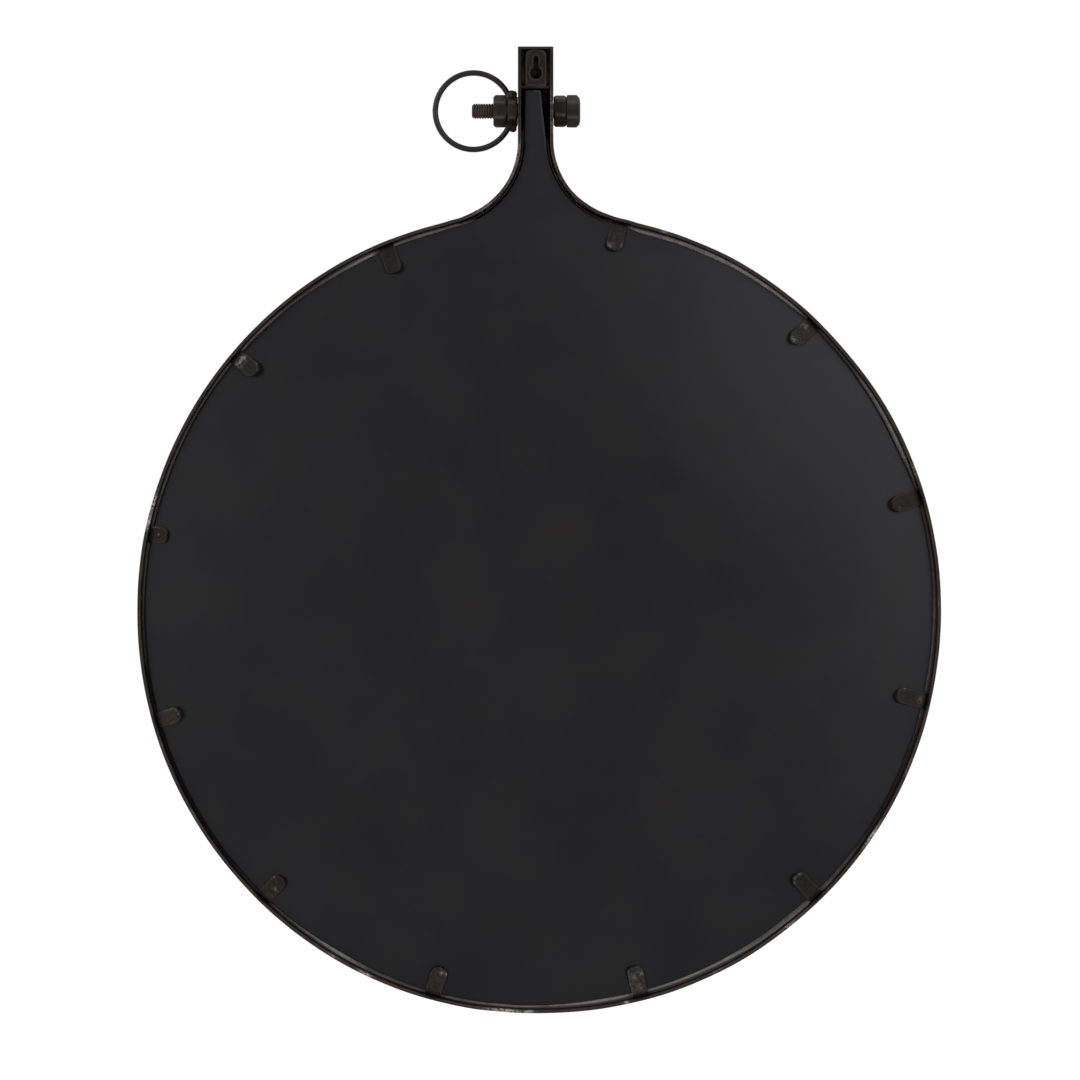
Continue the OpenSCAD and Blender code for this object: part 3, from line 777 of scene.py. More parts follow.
def clip_surface(angle, share, make, seed):
    """A clip: a flat strip on its middle line, with a round tip, whose half-width is that of a
    superellipse. It was cut and bent by hand, as its make says. Near its tip the lower face comes out past
    the upper one on one side, and is black there as a painted shadow of the tip; beside the strap it is black
    as painted shade."""
    lean, blunt, shadow_reach, tint, pale, bright = make
    draw = np.random.default_rng(SEED + 100 + seed)
    width = CLIP_W * draw.uniform(0.97, 1.0)
    lift = draw.uniform(0.9, 1.5) * MM * share
    inner_r = HOOP_R - STRAP_T
    out = math.sqrt(inner_r ** 2 - (CLIP_W / 2) ** 2) - SEAM_GAP - CLIP_T / 2 - KEEP_INSIDE
    run, depth, inwards, length = clip_line(out, share, lift)
    direction = np.stack([np.gradient(run), np.gradient(depth)], axis=1)
    direction /= np.linalg.norm(direction, axis=1, keepdims=True)
    tip = np.clip(1 - (1 - inwards) * length / (width / 2), 0, 1)
    half = np.maximum(1 - tip ** blunt, 0) ** (1 / blunt)
    uneven = 1 - wander(np.arange(len(run)), 60, depth=0.06, seed=200 + seed, waves=(1, 2, 3))
    profile, far = rounded_profile(width, CLIP_T - KEEP_INSIDE, CLIP_ARRIS, np.array([0.6, 1.5, 3, 4.5]) * MM)
    across = profile[:, 0] * (half * uneven)[:, None]
    up = profile[:, 1] * (0.55 + 0.45 * np.minimum(half * 3, 1))[:, None]
    distance = run[:, None] - direction[:, 1:] * up
    height = depth[:, None] + direction[:, :1] * up
    reached = np.clip(inwards * 1.6 - 0.6, 0, 1)[:, None] ** 1.5
    below = reached * np.clip(0.5 + profile[:, 1] / (CLIP_T - 2 * CLIP_ARRIS), 0, 1)
    shadow_skirt = (below - SHADOW_SKIRT_BACK * reached) * MM
    points = shut_ends(np.stack([-across - shadow_skirt * shadow_reach[0], height, distance - shadow_skirt * shadow_reach[1]], axis=2))
    from_strap = inner_r - points[:, :, Z]
    # Bright spots, painted pale as bare metal and as highlights along the tips' lower edges
    clip_highlights_and_bare = spots(np.stack([-points[:, :, X], points[:, :, Y], from_strap], axis=2), bright)
    points = lean_points(points, [0, 0, out], lean)
    bend_in = read_table(np.array([float(angle)]), HAND_BENDS)[0] * MM
    points = lean_points(points - [0, 0, max(bend_in, 0)], [0, 0, 0], -angle) + [HOOP_X, 0, HOOP_Z]
    # Painted shade: the clip is black beside the strap, and its lower edge near the tip is black as the tip's
    # painted shadow
    black_end = 3.6 * MM
    by_strap = np.exp(-((from_strap / black_end) ** 3))
    burnt = np.maximum(by_strap, np.clip(12 * repeat_ends(below), 0, 1))
    marks = {"rubbed": clip_highlights_and_bare, "burnt": burnt, "tint": tint, "pale": pale}
    return surface(points, round_columns=True, edge=near_edge(far), **marks)


# Materials


def linear(code):
    """A linear colour from an sRGB hex code."""
    channels = [int(code[k:k + 2], 16) / 255 for k in (1, 3, 5)]
    return tuple(c / 12.92 if c <= 0.04045 else ((c + 0.055) / 1.055) ** 2.4 for c in channels) + (1.0,)


def add(tree, kind, inputs=(), out=0, **settings):
    """Adds a node with its settings, sets or links its inputs, and gives one of its outputs. A colour may
    be written as a hex code."""
    made = tree.nodes.new(kind)
    for name, value in settings.items():
        setattr(made, name, value)
    for socket, value in dict(inputs).items():
        if isinstance(value, bpy.types.NodeSocket):
            tree.links.new(value, made.inputs[socket])
        else:
            made.inputs[socket].default_value = linear(value) if isinstance(value, str) else value
    return made.outputs[out]


def start_material(name):
    """A new material with its shader. Gives the material, its tree, the shader and the object's
    coordinates."""
    material = bpy.data.materials.new(name)
    material.use_nodes = True
    tree = material.node_tree
    return material, tree, tree.nodes["Principled BSDF"], add(tree, "ShaderNodeTexCoord", out="Object")


def patches(tree, vector, size, low, high, detail=4.0, roughness=0.55):
    """A mask of soft patches of a real size: noise, with the stretch between low and high spread over 0 to
    1, so a higher low leaves fewer of them."""
    cloud = {"Vector": vector, "Scale": 1 / size, "Detail": detail, "Roughness": roughness}
    cloud = add(tree, "ShaderNodeTexNoise", cloud, "Fac")
    spread = {"Value": cloud, "From Min": low, "From Max": high}
    return add(tree, "ShaderNodeMapRange", spread, "Result", interpolation_type="SMOOTHSTEP")


def worn_iron(name, dark, light, rust, bare, metallic, rough, gloss, rub, rusting, wear):
    """Iron with a dark finish. Patches of its two tones, browner by the piece's tint, rust that breaks
    through where the piece says so and by its share of rusting elsewhere, arrises rubbed a little lighter
    all along, and chips of bare metal, as many as its wear. Rust is rough and not metallic, and bare metal
    is smoother."""
    material, tree, shader, at = start_material(name)
    marks = {
        mark: add(tree, "ShaderNodeAttribute", out="Fac", attribute_name=mark)
        for mark in ("edge", "rusty", "rubbed", "burnt", "tint", "pale")
    }
    broad = patches(tree, at, 16 * MM, 0.34, 0.68)
    fine = patches(tree, at, 2.6 * MM, 0.36, 0.64)
    tone = add(tree, "ShaderNodeMath", {0: broad, 1: fine}, operation="MULTIPLY")
    tone = add(tree, "ShaderNodeMix", {0: 0.4, 2: tone, 3: broad})
    colour = add(tree, "ShaderNodeMix", {0: tone, 6: dark, 7: light}, 2, data_type="RGBA")
    warm = add(tree, "ShaderNodeMath", {0: marks["tint"], 1: 0.22}, operation="MULTIPLY")
    colour = add(tree, "ShaderNodeMix", {0: warm, 6: colour, 7: rust}, 2, data_type="RGBA")
    ashen = add(tree, "ShaderNodeMapRange", {"Value": fine, "To Min": 0.02, "To Max": 0.2}, "Result")
    ashen = add(tree, "ShaderNodeMath", {0: marks["pale"], 1: ashen}, operation="MULTIPLY")
    rubbed = add(tree, "ShaderNodeMath", {0: marks["edge"], 1: rub}, operation="MULTIPLY")
    paler = add(tree, "ShaderNodeMath", {0: ashen, 1: rubbed}, operation="MAXIMUM")
    colour = add(tree, "ShaderNodeMix", {0: paler, 6: colour, 7: bare}, 2, data_type="RGBA")
    stain = patches(tree, at, 30 * MM, 0.52, 0.68)
    stain = add(tree, "ShaderNodeMath", {0: stain, 1: rusting}, operation="MULTIPLY")
    stain = add(tree, "ShaderNodeMath", {0: stain, 1: marks["rusty"]}, operation="MAXIMUM")
    grain = patches(tree, at, 4 * MM, 0.3, 0.56)
    stain = add(tree, "ShaderNodeMath", {0: stain, 1: grain}, operation="MULTIPLY")
    colour = add(tree, "ShaderNodeMix", {0: stain, 6: colour, 7: rust}, 2, data_type="RGBA")
    chips = patches(tree, at, 45 * MM, 0.6, 0.7, 2.0)
    chips = add(tree, "ShaderNodeMath", {0: chips, 1: wear}, operation="MULTIPLY")
    chips = add(tree, "ShaderNodeMath", {0: chips, 1: marks["edge"]}, operation="MULTIPLY")
    # The rubbed mark: bare metal, and on the clips and beside the bolt painted highlights as well
    chips = add(tree, "ShaderNodeMath", {0: chips, 1: marks["rubbed"]}, operation="MAXIMUM")
    torn = patches(tree, at, 2 * MM, 0.4, 0.56)
    chips = add(tree, "ShaderNodeMath", {0: chips, 1: torn}, operation="MULTIPLY", use_clamp=True)
    colour = add(tree, "ShaderNodeMix", {0: chips, 6: colour, 7: bare}, 2, data_type="RGBA")
    # Black by the painted shade and darkening mark: painted shade at the clips, and the strap darker towards
    # the neck's top
    colour = add(tree, "ShaderNodeMix", {0: marks["burnt"], 6: colour, 7: "#040303"}, 2, data_type="RGBA")
    tree.links.new(colour, shader.inputs["Base Color"])
    metal = {"Value": stain, "To Min": metallic, "To Max": 0.1}
    tree.links.new(add(tree, "ShaderNodeMapRange", metal, "Result"), shader.inputs["Metallic"])
    speck = patches(tree, at, 1.2 * MM, 0.3, 0.7)
    spread = {"Value": speck, "To Min": rough - 0.09, "To Max": rough + 0.1}
    smooth = add(tree, "ShaderNodeMapRange", spread, "Result")
    smooth = add(tree, "ShaderNodeMix", {0: chips, 2: smooth, 3: 0.38})
    smooth = add(tree, "ShaderNodeMix", {0: marks["burnt"], 2: smooth, 3: 0.9})
    tree.links.new(smooth, shader.inputs["Roughness"])
    shader.inputs["Specular IOR Level"].default_value = gloss
    bump = add(tree, "ShaderNodeBump", {"Height": speck, "Distance": 0.05 * MM, "Strength": 1.0}, "Normal")
    tree.links.new(bump, shader.inputs["Normal"])
    return material


def waxed_strap():
    """Hot-rolled mild steel strap, blackened and waxed: an uneven warm black, brown rust and bright
    chips."""
    return worn_iron(
        "waxed_strap", dark="#0D0B09", light="#28221C", rust="#38261E", bare="#9C968F",
        metallic=0.18, rough=0.5, gloss=0.18, rub=0.05, rusting=0.35, wear=0.4,
    )


def black_sheet():
    """Cold-rolled sheet, blackened: darker and more even than the strap."""
    return worn_iron(
        "black_sheet", dark="#0B0A09", light="#141210", rust="#241914", bare="#4A4641",
        metallic=0.2, rough=0.6, gloss=0.15, rub=0.05, rusting=0.3, wear=0.3,
    )


def painted_shade_scale():
    """The sheet's rear face inside the neck: rolling scale, painted near black as the shade of the deep neck,
    and paler in patches above the shelf."""
    material, tree, shader, at = start_material("painted_shade_scale")
    neck_shade = patches(tree, at, 12 * MM, 0.5, 0.85)
    neck_shade = add(tree, "ShaderNodeMix", {0: neck_shade, 6: "#020202", 7: "#151311"}, 2, data_type="RGBA")
    above_shelf = add(tree, "ShaderNodeAttribute", out="Fac", attribute_name="pale")
    above_shelf = add(tree, "ShaderNodeMath", {0: above_shelf, 1: patches(tree, at, 5 * MM, 0.25, 0.6)}, operation="MULTIPLY")
    neck_shade = add(tree, "ShaderNodeMix", {0: above_shelf, 6: neck_shade, 7: "#3A3733"}, 2, data_type="RGBA")
    tree.links.new(neck_shade, shader.inputs["Base Color"])
    shader.inputs["Roughness"].default_value = 0.9
    shader.inputs["Specular IOR Level"].default_value = 0.02
    return material


def hanger_paint():
    """Steel plate under matt black paint, rubbed to grey on its arrises."""
    return worn_iron(
        "hanger_paint", dark="#0D0D0C", light="#171614", rust="#2A201B", bare="#5F5C58",
        metallic=0.1, rough=0.65, gloss=0.15, rub=0.2, rusting=0.2, wear=0.5,
    )


def clip_iron():
    """Dark mild steel strip, cut and bent by hand: brown-black, with bright spots painted as bare metal and as
    highlights.
    """
    return worn_iron(
        "clip_iron", dark="#0A0908", light="#171512", rust="#3B2A25", bare="#8E877E",
        metallic=0.12, rough=0.55, gloss=0.12, rub=0.06, rusting=0.25, wear=0.2,
    )


def bolt_steel():
    """Rolled and forged bolt steel that has rusted and been wiped: brown, blue-grey where its flats are
    rubbed."""
    return worn_iron(
        "bolt_steel", dark="#0F0D0C", light="#2A231D", rust="#3A2A20", bare="#77706A",
        metallic=0.12, rough=0.56, gloss=0.16, rub=0.22, rusting=0.7, wear=0.9,
    )


def thread_rust():
    """The bolt's thread: the same steel, with rust in its grooves."""
    return worn_iron(
        "thread_rust", dark="#170F09", light="#33231A", rust="#52301F", bare="#6B5B4E",
        metallic=0.2, rough=0.6, gloss=0.25, rub=0.22, rusting=1.0, wear=0.3,
    )


def ring_wire():
    """Drawn steel wire, oil-blackened: an even charcoal with a soft sheen."""
    return worn_iron(
        "ring_wire", dark="#0B0B0A", light="#141210", rust="#2A1F18", bare="#545250",
        metallic=0.3, rough=0.36, gloss=0.35, rub=0.1, rusting=0.25, wear=0.3,
    )


def weld_metal():
    """Arc weld, brushed and blackened with the iron: dark brown and knobbly."""
    return worn_iron(
        "weld_metal", dark="#130F0D", light="#2E231D", rust="#40291F", bare="#655D57",
        metallic=0.1, rough=0.55, gloss=0.16, rub=0.1, rusting=0.9, wear=0.6,
    )


def brushed_weld():
    """Arc weld, brushed and left unpainted: dark grey-brown, with soot between its ripples."""
    return worn_iron(
        "brushed_weld", dark="#0C0A08", light="#2A241E", rust="#33221A", bare="#6B655F",
        metallic=0.12, rough=0.6, gloss=0.15, rub=0.08, rusting=0.9, wear=0.6,
    )


def painted_board():
    """Hardboard under a thin coat of matt charcoal paint: faint broad mottling, paler towards parts of its rim,
    on the tongue and along the tongue's painted highlight, a band painted black along the edge as its shadow,
    and a dark sawn edge."""
    material, tree, shader, at = start_material("painted_board")
    marks = {
        mark: add(tree, "ShaderNodeAttribute", out="Fac", attribute_name=mark)
        for mark in ("side", "pale", "black", "inset")
    }
    broad = patches(tree, at, 90 * MM, 0.3, 0.7, 5.0)
    colour = add(tree, "ShaderNodeMix", {0: broad, 6: "#1A191B", 7: "#1F1F22"}, 2, data_type="RGBA")
    warm = patches(tree, at, 45 * MM, 0.35, 0.75)
    warm = add(tree, "ShaderNodeMath", {0: broad, 1: warm}, operation="MULTIPLY")
    colour = add(tree, "ShaderNodeMix", {0: warm, 6: colour, 7: "#1F1E1D"}, 2, data_type="RGBA")
    colour = add(tree, "ShaderNodeMix", {0: marks["pale"], 6: colour, 7: "#363537"}, 2, data_type="RGBA")
    ragged = {"Value": patches(tree, at, 5 * MM, 0.2, 0.6), "To Min": 1.7 * MM, "To Max": 2.6 * MM}
    ragged = add(tree, "ShaderNodeMapRange", ragged, "Result")
    line = {"Value": marks["inset"], "From Min": ragged, "From Max": 0.7 * MM}
    line = add(tree, "ShaderNodeMapRange", line, "Result", interpolation_type="SMOOTHSTEP")
    # The board's painted edge shadow, a ragged band, and its dark sawn edge go to black
    black = add(tree, "ShaderNodeMath", {0: marks["black"], 1: line}, operation="MULTIPLY")
    black = add(tree, "ShaderNodeMath", {0: black, 1: marks["side"]}, operation="MAXIMUM")
    colour = add(tree, "ShaderNodeMix", {0: black, 6: colour, 7: "#060505"}, 2, data_type="RGBA")
    tree.links.new(colour, shader.inputs["Base Color"])
    shader.inputs["Roughness"].default_value = 0.75
    shader.inputs["Specular IOR Level"].default_value = 0.08
    fibre = patches(tree, at, 0.8 * MM, 0.3, 0.7, 3.0)
    bump = add(tree, "ShaderNodeBump", {"Height": fibre, "Distance": 0.03 * MM, "Strength": 1.0}, "Normal")
    tree.links.new(bump, shader.inputs["Normal"])
    return material


def mirror_silver():
    """Silvered float glass, seen from the front: a bright mirror, a little clouded."""
    material, tree, shader, at = start_material("mirror_silver")
    cloud = patches(tree, at, 60 * MM, 0.35, 0.8)
    colour = add(tree, "ShaderNodeMix", {0: cloud, 6: "#E4E9E7", 7: "#E0E5E3"}, 2, data_type="RGBA")
    tree.links.new(colour, shader.inputs["Base Color"])
    shader.inputs["Metallic"].default_value = 1.0
    shader.inputs["Roughness"].default_value = 0.015
    return material


def rim_finish(name, pale, rough):
    """A finish near the glass's rim, from black to pale by the pale mark: grey paint with painted light and
    shade round the rim, and rust that has run down from the strap. Towards the strap it is always dark, as
    painted shade of the strap."""
    material, tree, shader, at = start_material(name)
    bare, run, inset, dirt = (
        add(tree, "ShaderNodeAttribute", out="Fac", attribute_name=mark)
        for mark in ("pale", "rusty", "inset", "dirt")
    )
    # The pale mark is the grey paint with painted light and shade round the rim
    under = add(tree, "ShaderNodeMix", {0: bare, 6: "#060505", 7: "#3A3633"}, 2, data_type="RGBA")
    # Painted shade of the strap: dark from the rim in to the given depth
    start = add(tree, "ShaderNodeMath", {0: dirt, 1: 0.9 * MM}, operation="SUBTRACT")
    end = add(tree, "ShaderNodeMath", {0: dirt, 1: 0.7 * MM}, operation="ADD")
    unshaded = {"Value": inset, "From Min": start, "From Max": end}
    unshaded = add(tree, "ShaderNodeMapRange", unshaded, "Result", interpolation_type="SMOOTHSTEP")
    ragged = {"Value": patches(tree, at, 7 * MM, 0.25, 0.62), "To Min": 0.55, "To Max": 1.05}
    ragged = add(tree, "ShaderNodeMapRange", ragged, "Result")
    bare = add(tree, "ShaderNodeMath", {0: bare, 1: ragged}, operation="MULTIPLY")
    bare = add(tree, "ShaderNodeMath", {0: bare, 1: unshaded}, operation="MULTIPLY")
    colour = add(tree, "ShaderNodeMix", {0: bare, 6: under, 7: pale}, 2, data_type="RGBA")
    run = add(tree, "ShaderNodeMath", {0: run, 1: patches(tree, at, 3 * MM, 0.35, 0.6)}, operation="MULTIPLY")
    colour = add(tree, "ShaderNodeMix", {0: run, 6: colour, 7: "#432921"}, 2, data_type="RGBA")
    tree.links.new(colour, shader.inputs["Base Color"])
    shader.inputs["Roughness"].default_value = rough
    shader.inputs["Specular IOR Level"].default_value = 0.2
    return material


def ground_glass():
    """The glass's ground edge: grey, dull and dirty."""
    return rim_finish("ground_glass", "#8C8F8D", 0.5)


def backing_paint():
    """The grey paint over the silver on the glass's rear face."""
    return rim_finish("backing_paint", "#9B9795", 0.6)


# Pieces


def make_strap(iron):
    """The strap, with the bolt's holes drilled through both sides of its neck."""
    strap = piece("iron_strap", swept_strap(), "frame", [iron], ["hoop_band"])
    drill = bpy.data.meshes.new("drill")
    drill_length = 60 * MM
    shape = bmesh.new()
    bmesh.ops.create_cone(
        shape, cap_ends=True, segments=64, radius1=BOLT_HOLE_R, radius2=BOLT_HOLE_R, depth=drill_length
    )
    shape.to_mesh(drill)
    shape.free()
    drill.transform(Matrix.Translation((NECK_X, BOLT_Y, BOLT_Z)) @ Matrix.Rotation(math.pi / 2, 4, "Y"))
    cutter = bpy.data.objects.new("drill", drill)
    bpy.context.scene.collection.objects.link(cutter)
    cut = strap.modifiers.new("bolt_holes", "BOOLEAN")
    cut.operation = "DIFFERENCE"
    cut.object = cutter
    cut.solver = "EXACT"
    drilled = bpy.data.meshes.new_from_object(strap.evaluated_get(bpy.context.evaluated_depsgraph_get()))
    strap.modifiers.clear()
    strap.data = drilled
    bpy.data.objects.remove(cutter)


def make_front_sheet(iron):
    """The sheet in front of the glass, as wide as the strap's inside, with a round opening that leaves a
    lip. Its rear face is painted near black as the neck's shade, and paler above the shelf."""
    outer = even(inner_outline(STRAP_T + SEAM_GAP, CAP_FOOT, SHEET_STEP), SHEET_STEP)
    angle = np.arctan2(outer[:, 1] - HOOP_Z, outer[:, 0] - HOOP_X)
    opening = on_hoop_circle(GLASS_R - LIP_W, angle)
    sheet = prism(hand_bend(outer), PLATE_REAR, PLATE_REAR - PLATE_FRONT, SHEET_ARRIS, inner=opening)
    # Paler above the shelf, on the rear face that is painted near black as shade
    sheet["fields"]["pale"] = np.clip((sheet["points"][:, Z] - SHELF_TOP) / (4 * MM), 0, 1)
    facing_back = face_depths(sheet) > PLATE_REAR - SAME_PLACE
    finishes = [iron, painted_shade_scale()]
    piece("front_lip_plate", sheet, "frame", finishes, ["front_plate"], facing_back)


def bar(node, arris, lower_top=0.0):
    """A short bar across the neck that fills its node's box, with round corners and arrises."""
    (left, right), (front, rear), (foot, top) = (place(node, axis) for axis in (X, Y, Z))
    corner_r = 0.5 * MM
    outline = rounded_rectangle(left, right, foot, top - lower_top, corner_r, corner_r / 2)
    middle = (NECK_X, (foot + top) / 2)
    return prism(outline, rear, rear - front, arris, middle=middle, reach=0.9 * MM)


def make_bars(cap_iron, shelf_iron):
    """The plate across the top of the neck, and the bar under the hanger plate."""
    piece("cap_plate", bar("neck_cap", CAP_ARRIS, KEEP_INSIDE), "frame", [cap_iron], ["neck_cap"])
    piece("shelf_bar", bar("hanger_shelf", SHELF_ARRIS), "frame", [shelf_iron], ["hanger_shelf"])


def hanger_outlines():
    """The outlines of the hanger plate and its keyhole, each a distance from the middle of the entry
    hole at the same angles from the top: the plate's is a rectangle with a round top, standing on the
    shelf, and the keyhole's is a circle with a slot that ends in a half circle, its corners rounded by
    taking means."""
    slot_side = math.radians(26)
    angle = np.concatenate([
        np.linspace(-slot_side, slot_side, 240, endpoint=False),
        np.linspace(slot_side, 2 * np.pi - slot_side, 360, endpoint=False),
    ]) % (2 * np.pi)
    below = SHELF_TOP - HANGER_CORNER_R
    plate = rounded_rectangle(-HANGER_HALF, HANGER_HALF, below, CAP_FOOT, HANGER_CORNER_R, 0.1 * MM)
    plate[:, 1] = np.maximum(plate[:, 1], SHELF_TOP)
    plate_angle = np.mod(np.arctan2(plate[:, 0], plate[:, 1]), 2 * np.pi)
    order = np.argsort(plate_angle)
    plate_reach = np.interp(angle, plate_angle[order], np.linalg.norm(plate, axis=1)[order], period=2 * np.pi)
    away = np.minimum(angle, 2 * np.pi - angle)
    slot_end = SLOT_TOP - SLOT_HALF
    side_reach = SLOT_HALF / np.maximum(np.sin(away), 1e-6)
    end_half = np.sqrt(np.maximum(SLOT_HALF ** 2 - (slot_end * np.sin(away)) ** 2, 0))
    end_reach = slot_end * np.cos(away) + end_half
    slot_reach = np.where(away < math.atan2(SLOT_HALF, slot_end), end_reach, side_reach)
    hole_reach = np.where(away < math.asin(SLOT_HALF / ENTRY_R), slot_reach, ENTRY_R)
    for _ in range(3):
        hole_reach = (np.roll(hole_reach, 1) + hole_reach + np.roll(hole_reach, -1)) / 3
    direction = np.stack([np.sin(angle), np.cos(angle)], axis=1)
    return plate_reach[:, None] * direction, hole_reach[:, None] * direction


def make_hanger(paint):
    """The hanger plate with its keyhole, and the lump of weld at its foot."""
    outer, hole = hanger_outlines()
    thickness = HANGER_REAR - HANGER_FRONT
    plate = prism(outer, HANGER_REAR, thickness, HANGER_ARRIS, inner=hole, face_rings=2, reach=0.8 * MM)
    piece("hanger_plate", plate, "frame", [paint], ["keyhole_plate"])
    centre = (-1.5 * MM, HANGER_REAR - 0.1 * MM, SHELF_TOP - 0.2 * MM)
    lump = weld_lump(centre, radii=(1.8 * MM, 0.8 * MM, 2.2 * MM), knobs=0.15, seed=51)
    piece("hanger_weld", lump, "frame", [paint])


def board_side(side):
    """One side of the board's outline, from the bottom up: the hoop's arc, the flare's arc, the tongue's
    side and half of its top, with a round corner between."""
    inset = STRAP_T + BOARD_GAP
    centre, at_neck, at_hoop = flare_arc(side)
    bottom = -math.pi / 2 if side > 0 else 1.5 * math.pi
    hoop = along_arc((HOOP_X, HOOP_Z), HOOP_R - inset, bottom, at_hoop - side * math.pi, FINE_STEP)[1:]
    flare = along_arc(centre, FLARE_R + inset, at_hoop, at_neck, FINE_STEP)[1:]
    tongue_foot = [NECK_X + TONGUE_FOOT_SHIFT + side * TONGUE_FOOT_HALF, flare[-1][1] + FINE_STEP]
    top_x = TONGUE_TOP_HALF - TONGUE_CORNER_R
    top_z = TONGUE_TOP - KEEP_INSIDE
    corner = along_arc((top_x, top_z - TONGUE_CORNER_R), TONGUE_CORNER_R, 0, np.pi / 2, 0.3 * MM)
    corner = corner * [side, 1] + [NECK_X + TONGUE_TOP_SHIFT, 0]
    ridge = [NECK_X + TONGUE_TOP_SHIFT, top_z]
    return even(np.concatenate([hoop, flare, [tongue_foot], corner, [ridge]]), FINE_STEP, closed=False)


def sawn_outline():
    """The board's outline: both sides joined, and on the hoop cut by hand along the saw line. Near the
    neck, within ten degrees of the top, the cut fades out."""
    right, left = board_side(1), board_side(-1)
    outline = np.concatenate([right, left[-2::-1]])
    angle = round_the_hoop(outline)
    neck_half, fade = 10, 6
    on_hoop = np.clip((180 - abs(angle - 180) - neck_half) / fade, 0, 1) * (outline[:, 1] < HOOP_Z + HOOP_R)
    saw_line = (read_table(angle, SAW_LINE) + read_table(angle, HAND_BENDS)) * MM
    cut = (saw_line - STRAP_T - BOARD_GAP) * on_hoop
    cut += wander(np.arange(len(outline)), len(outline), depth=0.25 * MM, seed=9, waves=(31, 53, 77, 120))
    return outline + inward(outline) * cut[:, None]


def make_board():
    """The board. Its face is ruled from the outline to a line up its middle, which stops short of both
    ends. Its tongue is paler along the edge on the bolt head's side: bare fibre of the cut edge, with a painted
    highlight."""
    outline = sawn_outline()
    margin = 6 * MM
    lowest, highest = outline[:, 1].min() + margin, outline[:, 1].max() - margin
    heights = outline[:, 1].clip(lowest, highest)
    hoop_top = HOOP_Z + HOOP_R
    spine_x = np.interp(heights, [hoop_top, highest], [HOOP_X, NECK_X + TONGUE_TOP_SHIFT])
    spine = np.stack([spine_x, heights], axis=1)
    thickness = BOARD_REAR - BOARD_FRONT
    board = prism(outline, BOARD_REAR, thickness, BOARD_ARRIS, middle=spine, face_rings=14, reach=2 * MM)
    points, fields = board["points"], board["fields"]
    angle = round_the_hoop(points)
    from_middle = np.hypot(points[:, X] - HOOP_X, points[:, Z] - HOOP_Z)
    on_disc = np.clip((hoop_top - points[:, Z]) / (40 * MM), 0, 1)
    near_rim = np.clip((from_middle / HOOP_R - 0.45) / 0.5, 0, 1) * on_disc
    tongue_foot, tongue_fade = -75 * MM, 20 * MM
    on_tongue = np.clip((points[:, Z] - tongue_foot) / tongue_fade, 0, 1)
    # A painted highlight, over the bare fibre of the cut edge, along the tongue's edge on the bolt head's side
    highlight_side = points[:, X] < NECK_X + TONGUE_TOP_SHIFT
    tongue_edge_highlight = on_tongue * highlight_side * near_edge(fields["inset"], reach=1.6 * MM)
    # A band along the board's edge painted black as the edge's shadow, faint round the tongue and flares, none
    # under the tongue's painted highlight
    fields["black"] = np.maximum(read_table(angle, EDGE_SHADOW), 0.1 * (1 - on_disc)) * (1 - tongue_edge_highlight)
    fields["pale"] = near_rim * arcs(angle, BOARD_PALE) + 0.15 * (1 - on_disc) + 1.5 * tongue_edge_highlight
    piece("painted_backing", board, "frame", [painted_board()], ["backing_board"])


def make_glass():
    """The glass was ground to the hand-bent hoop, so its rim follows the same bends."""
    rim = on_hoop_circle(HOOP_R - STRAP_T - GLASS_GAP, np.linspace(0, 2 * np.pi, 720, endpoint=False))
    thickness = GLASS_REAR - GLASS_FRONT
    glass = prism(hand_bend(rim), GLASS_REAR, thickness, GLASS_ARRIS, middle=(HOOP_X, HOOP_Z), face_rings=6)
    angle = round_the_hoop(glass["points"])
    # Painted light and shade round the rim, over its grey paint
    glass["fields"]["pale"] = read_table(angle, RIM_PALE)
    glass["fields"]["rusty"] = arcs(angle, RIM_RUST)
    # How far the strap's painted shade reaches in from the rim
    glass["fields"]["dirt"] = read_table(angle, RIM_STRAP_SHADE) * MM
    depth = face_depths(glass)
    silvered, ground, painted = 0, 1, 2
    picks = np.full(len(depth), ground)
    picks[depth < GLASS_FRONT + SAME_PLACE] = silvered
    picks[depth > GLASS_REAR - SAME_PLACE] = painted
    finishes = [mirror_silver(), ground_glass(), backing_paint()]
    piece("silvered_glass", glass, "frame", finishes, ["mirror_glass"], picks)


def make_clips(iron):
    """The twelve clips, each cut, bent and set by hand."""
    for number, (angle, share, make) in enumerate(zip(CLIP_ANGLES, CLIP_SHARES, CLIP_MAKES), 1):
        strip = clip_surface(angle, share, make, number)
        piece(f"bent_clip_{number:02d}", strip, "frame", [iron], [f"clip_{number:02d}"])


def make_bolt(steel, rust):
    """The bolt, with rust on its thread, and the three nuts on it."""
    surfaces = bolt_surfaces()
    on_thread = [np.full(len(made["faces"]), number > 0) for number, made in enumerate(surfaces)]
    picks = np.concatenate(on_thread)
    piece("through_bolt", surfaces, "bolt", [steel, rust], ["bolt"], picks)
    for name, node, turn in (
        ("jam_nut_turned", "jam_nut", JAM_NUT_TURN),
        ("ring_nut_welded", "ring_nut", 0),
        ("lock_nut_outer", "lock_nut", 0),
    ):
        piece(name, nut(node, turn), node, [steel], [node])


def make_ring(wire, weld):
    """The ring, and the two lumps of weld that hold it to its nut."""
    piece("wire_ring", ring_surface(), "ring_nut", [wire], ["ring"])
    nut_middle = np.array([middle_and_half("ring_nut", X)[0], BOLT_Y, BOLT_Z])
    for name, (away, radii, seed, lean) in RING_WELDS.items():
        lump = weld_lump(nut_middle + np.array(away) * MM, np.array(radii) * MM, 0.16, seed, lean)
        piece(f"ring_weld_{name}", lump, "ring_nut", [weld])


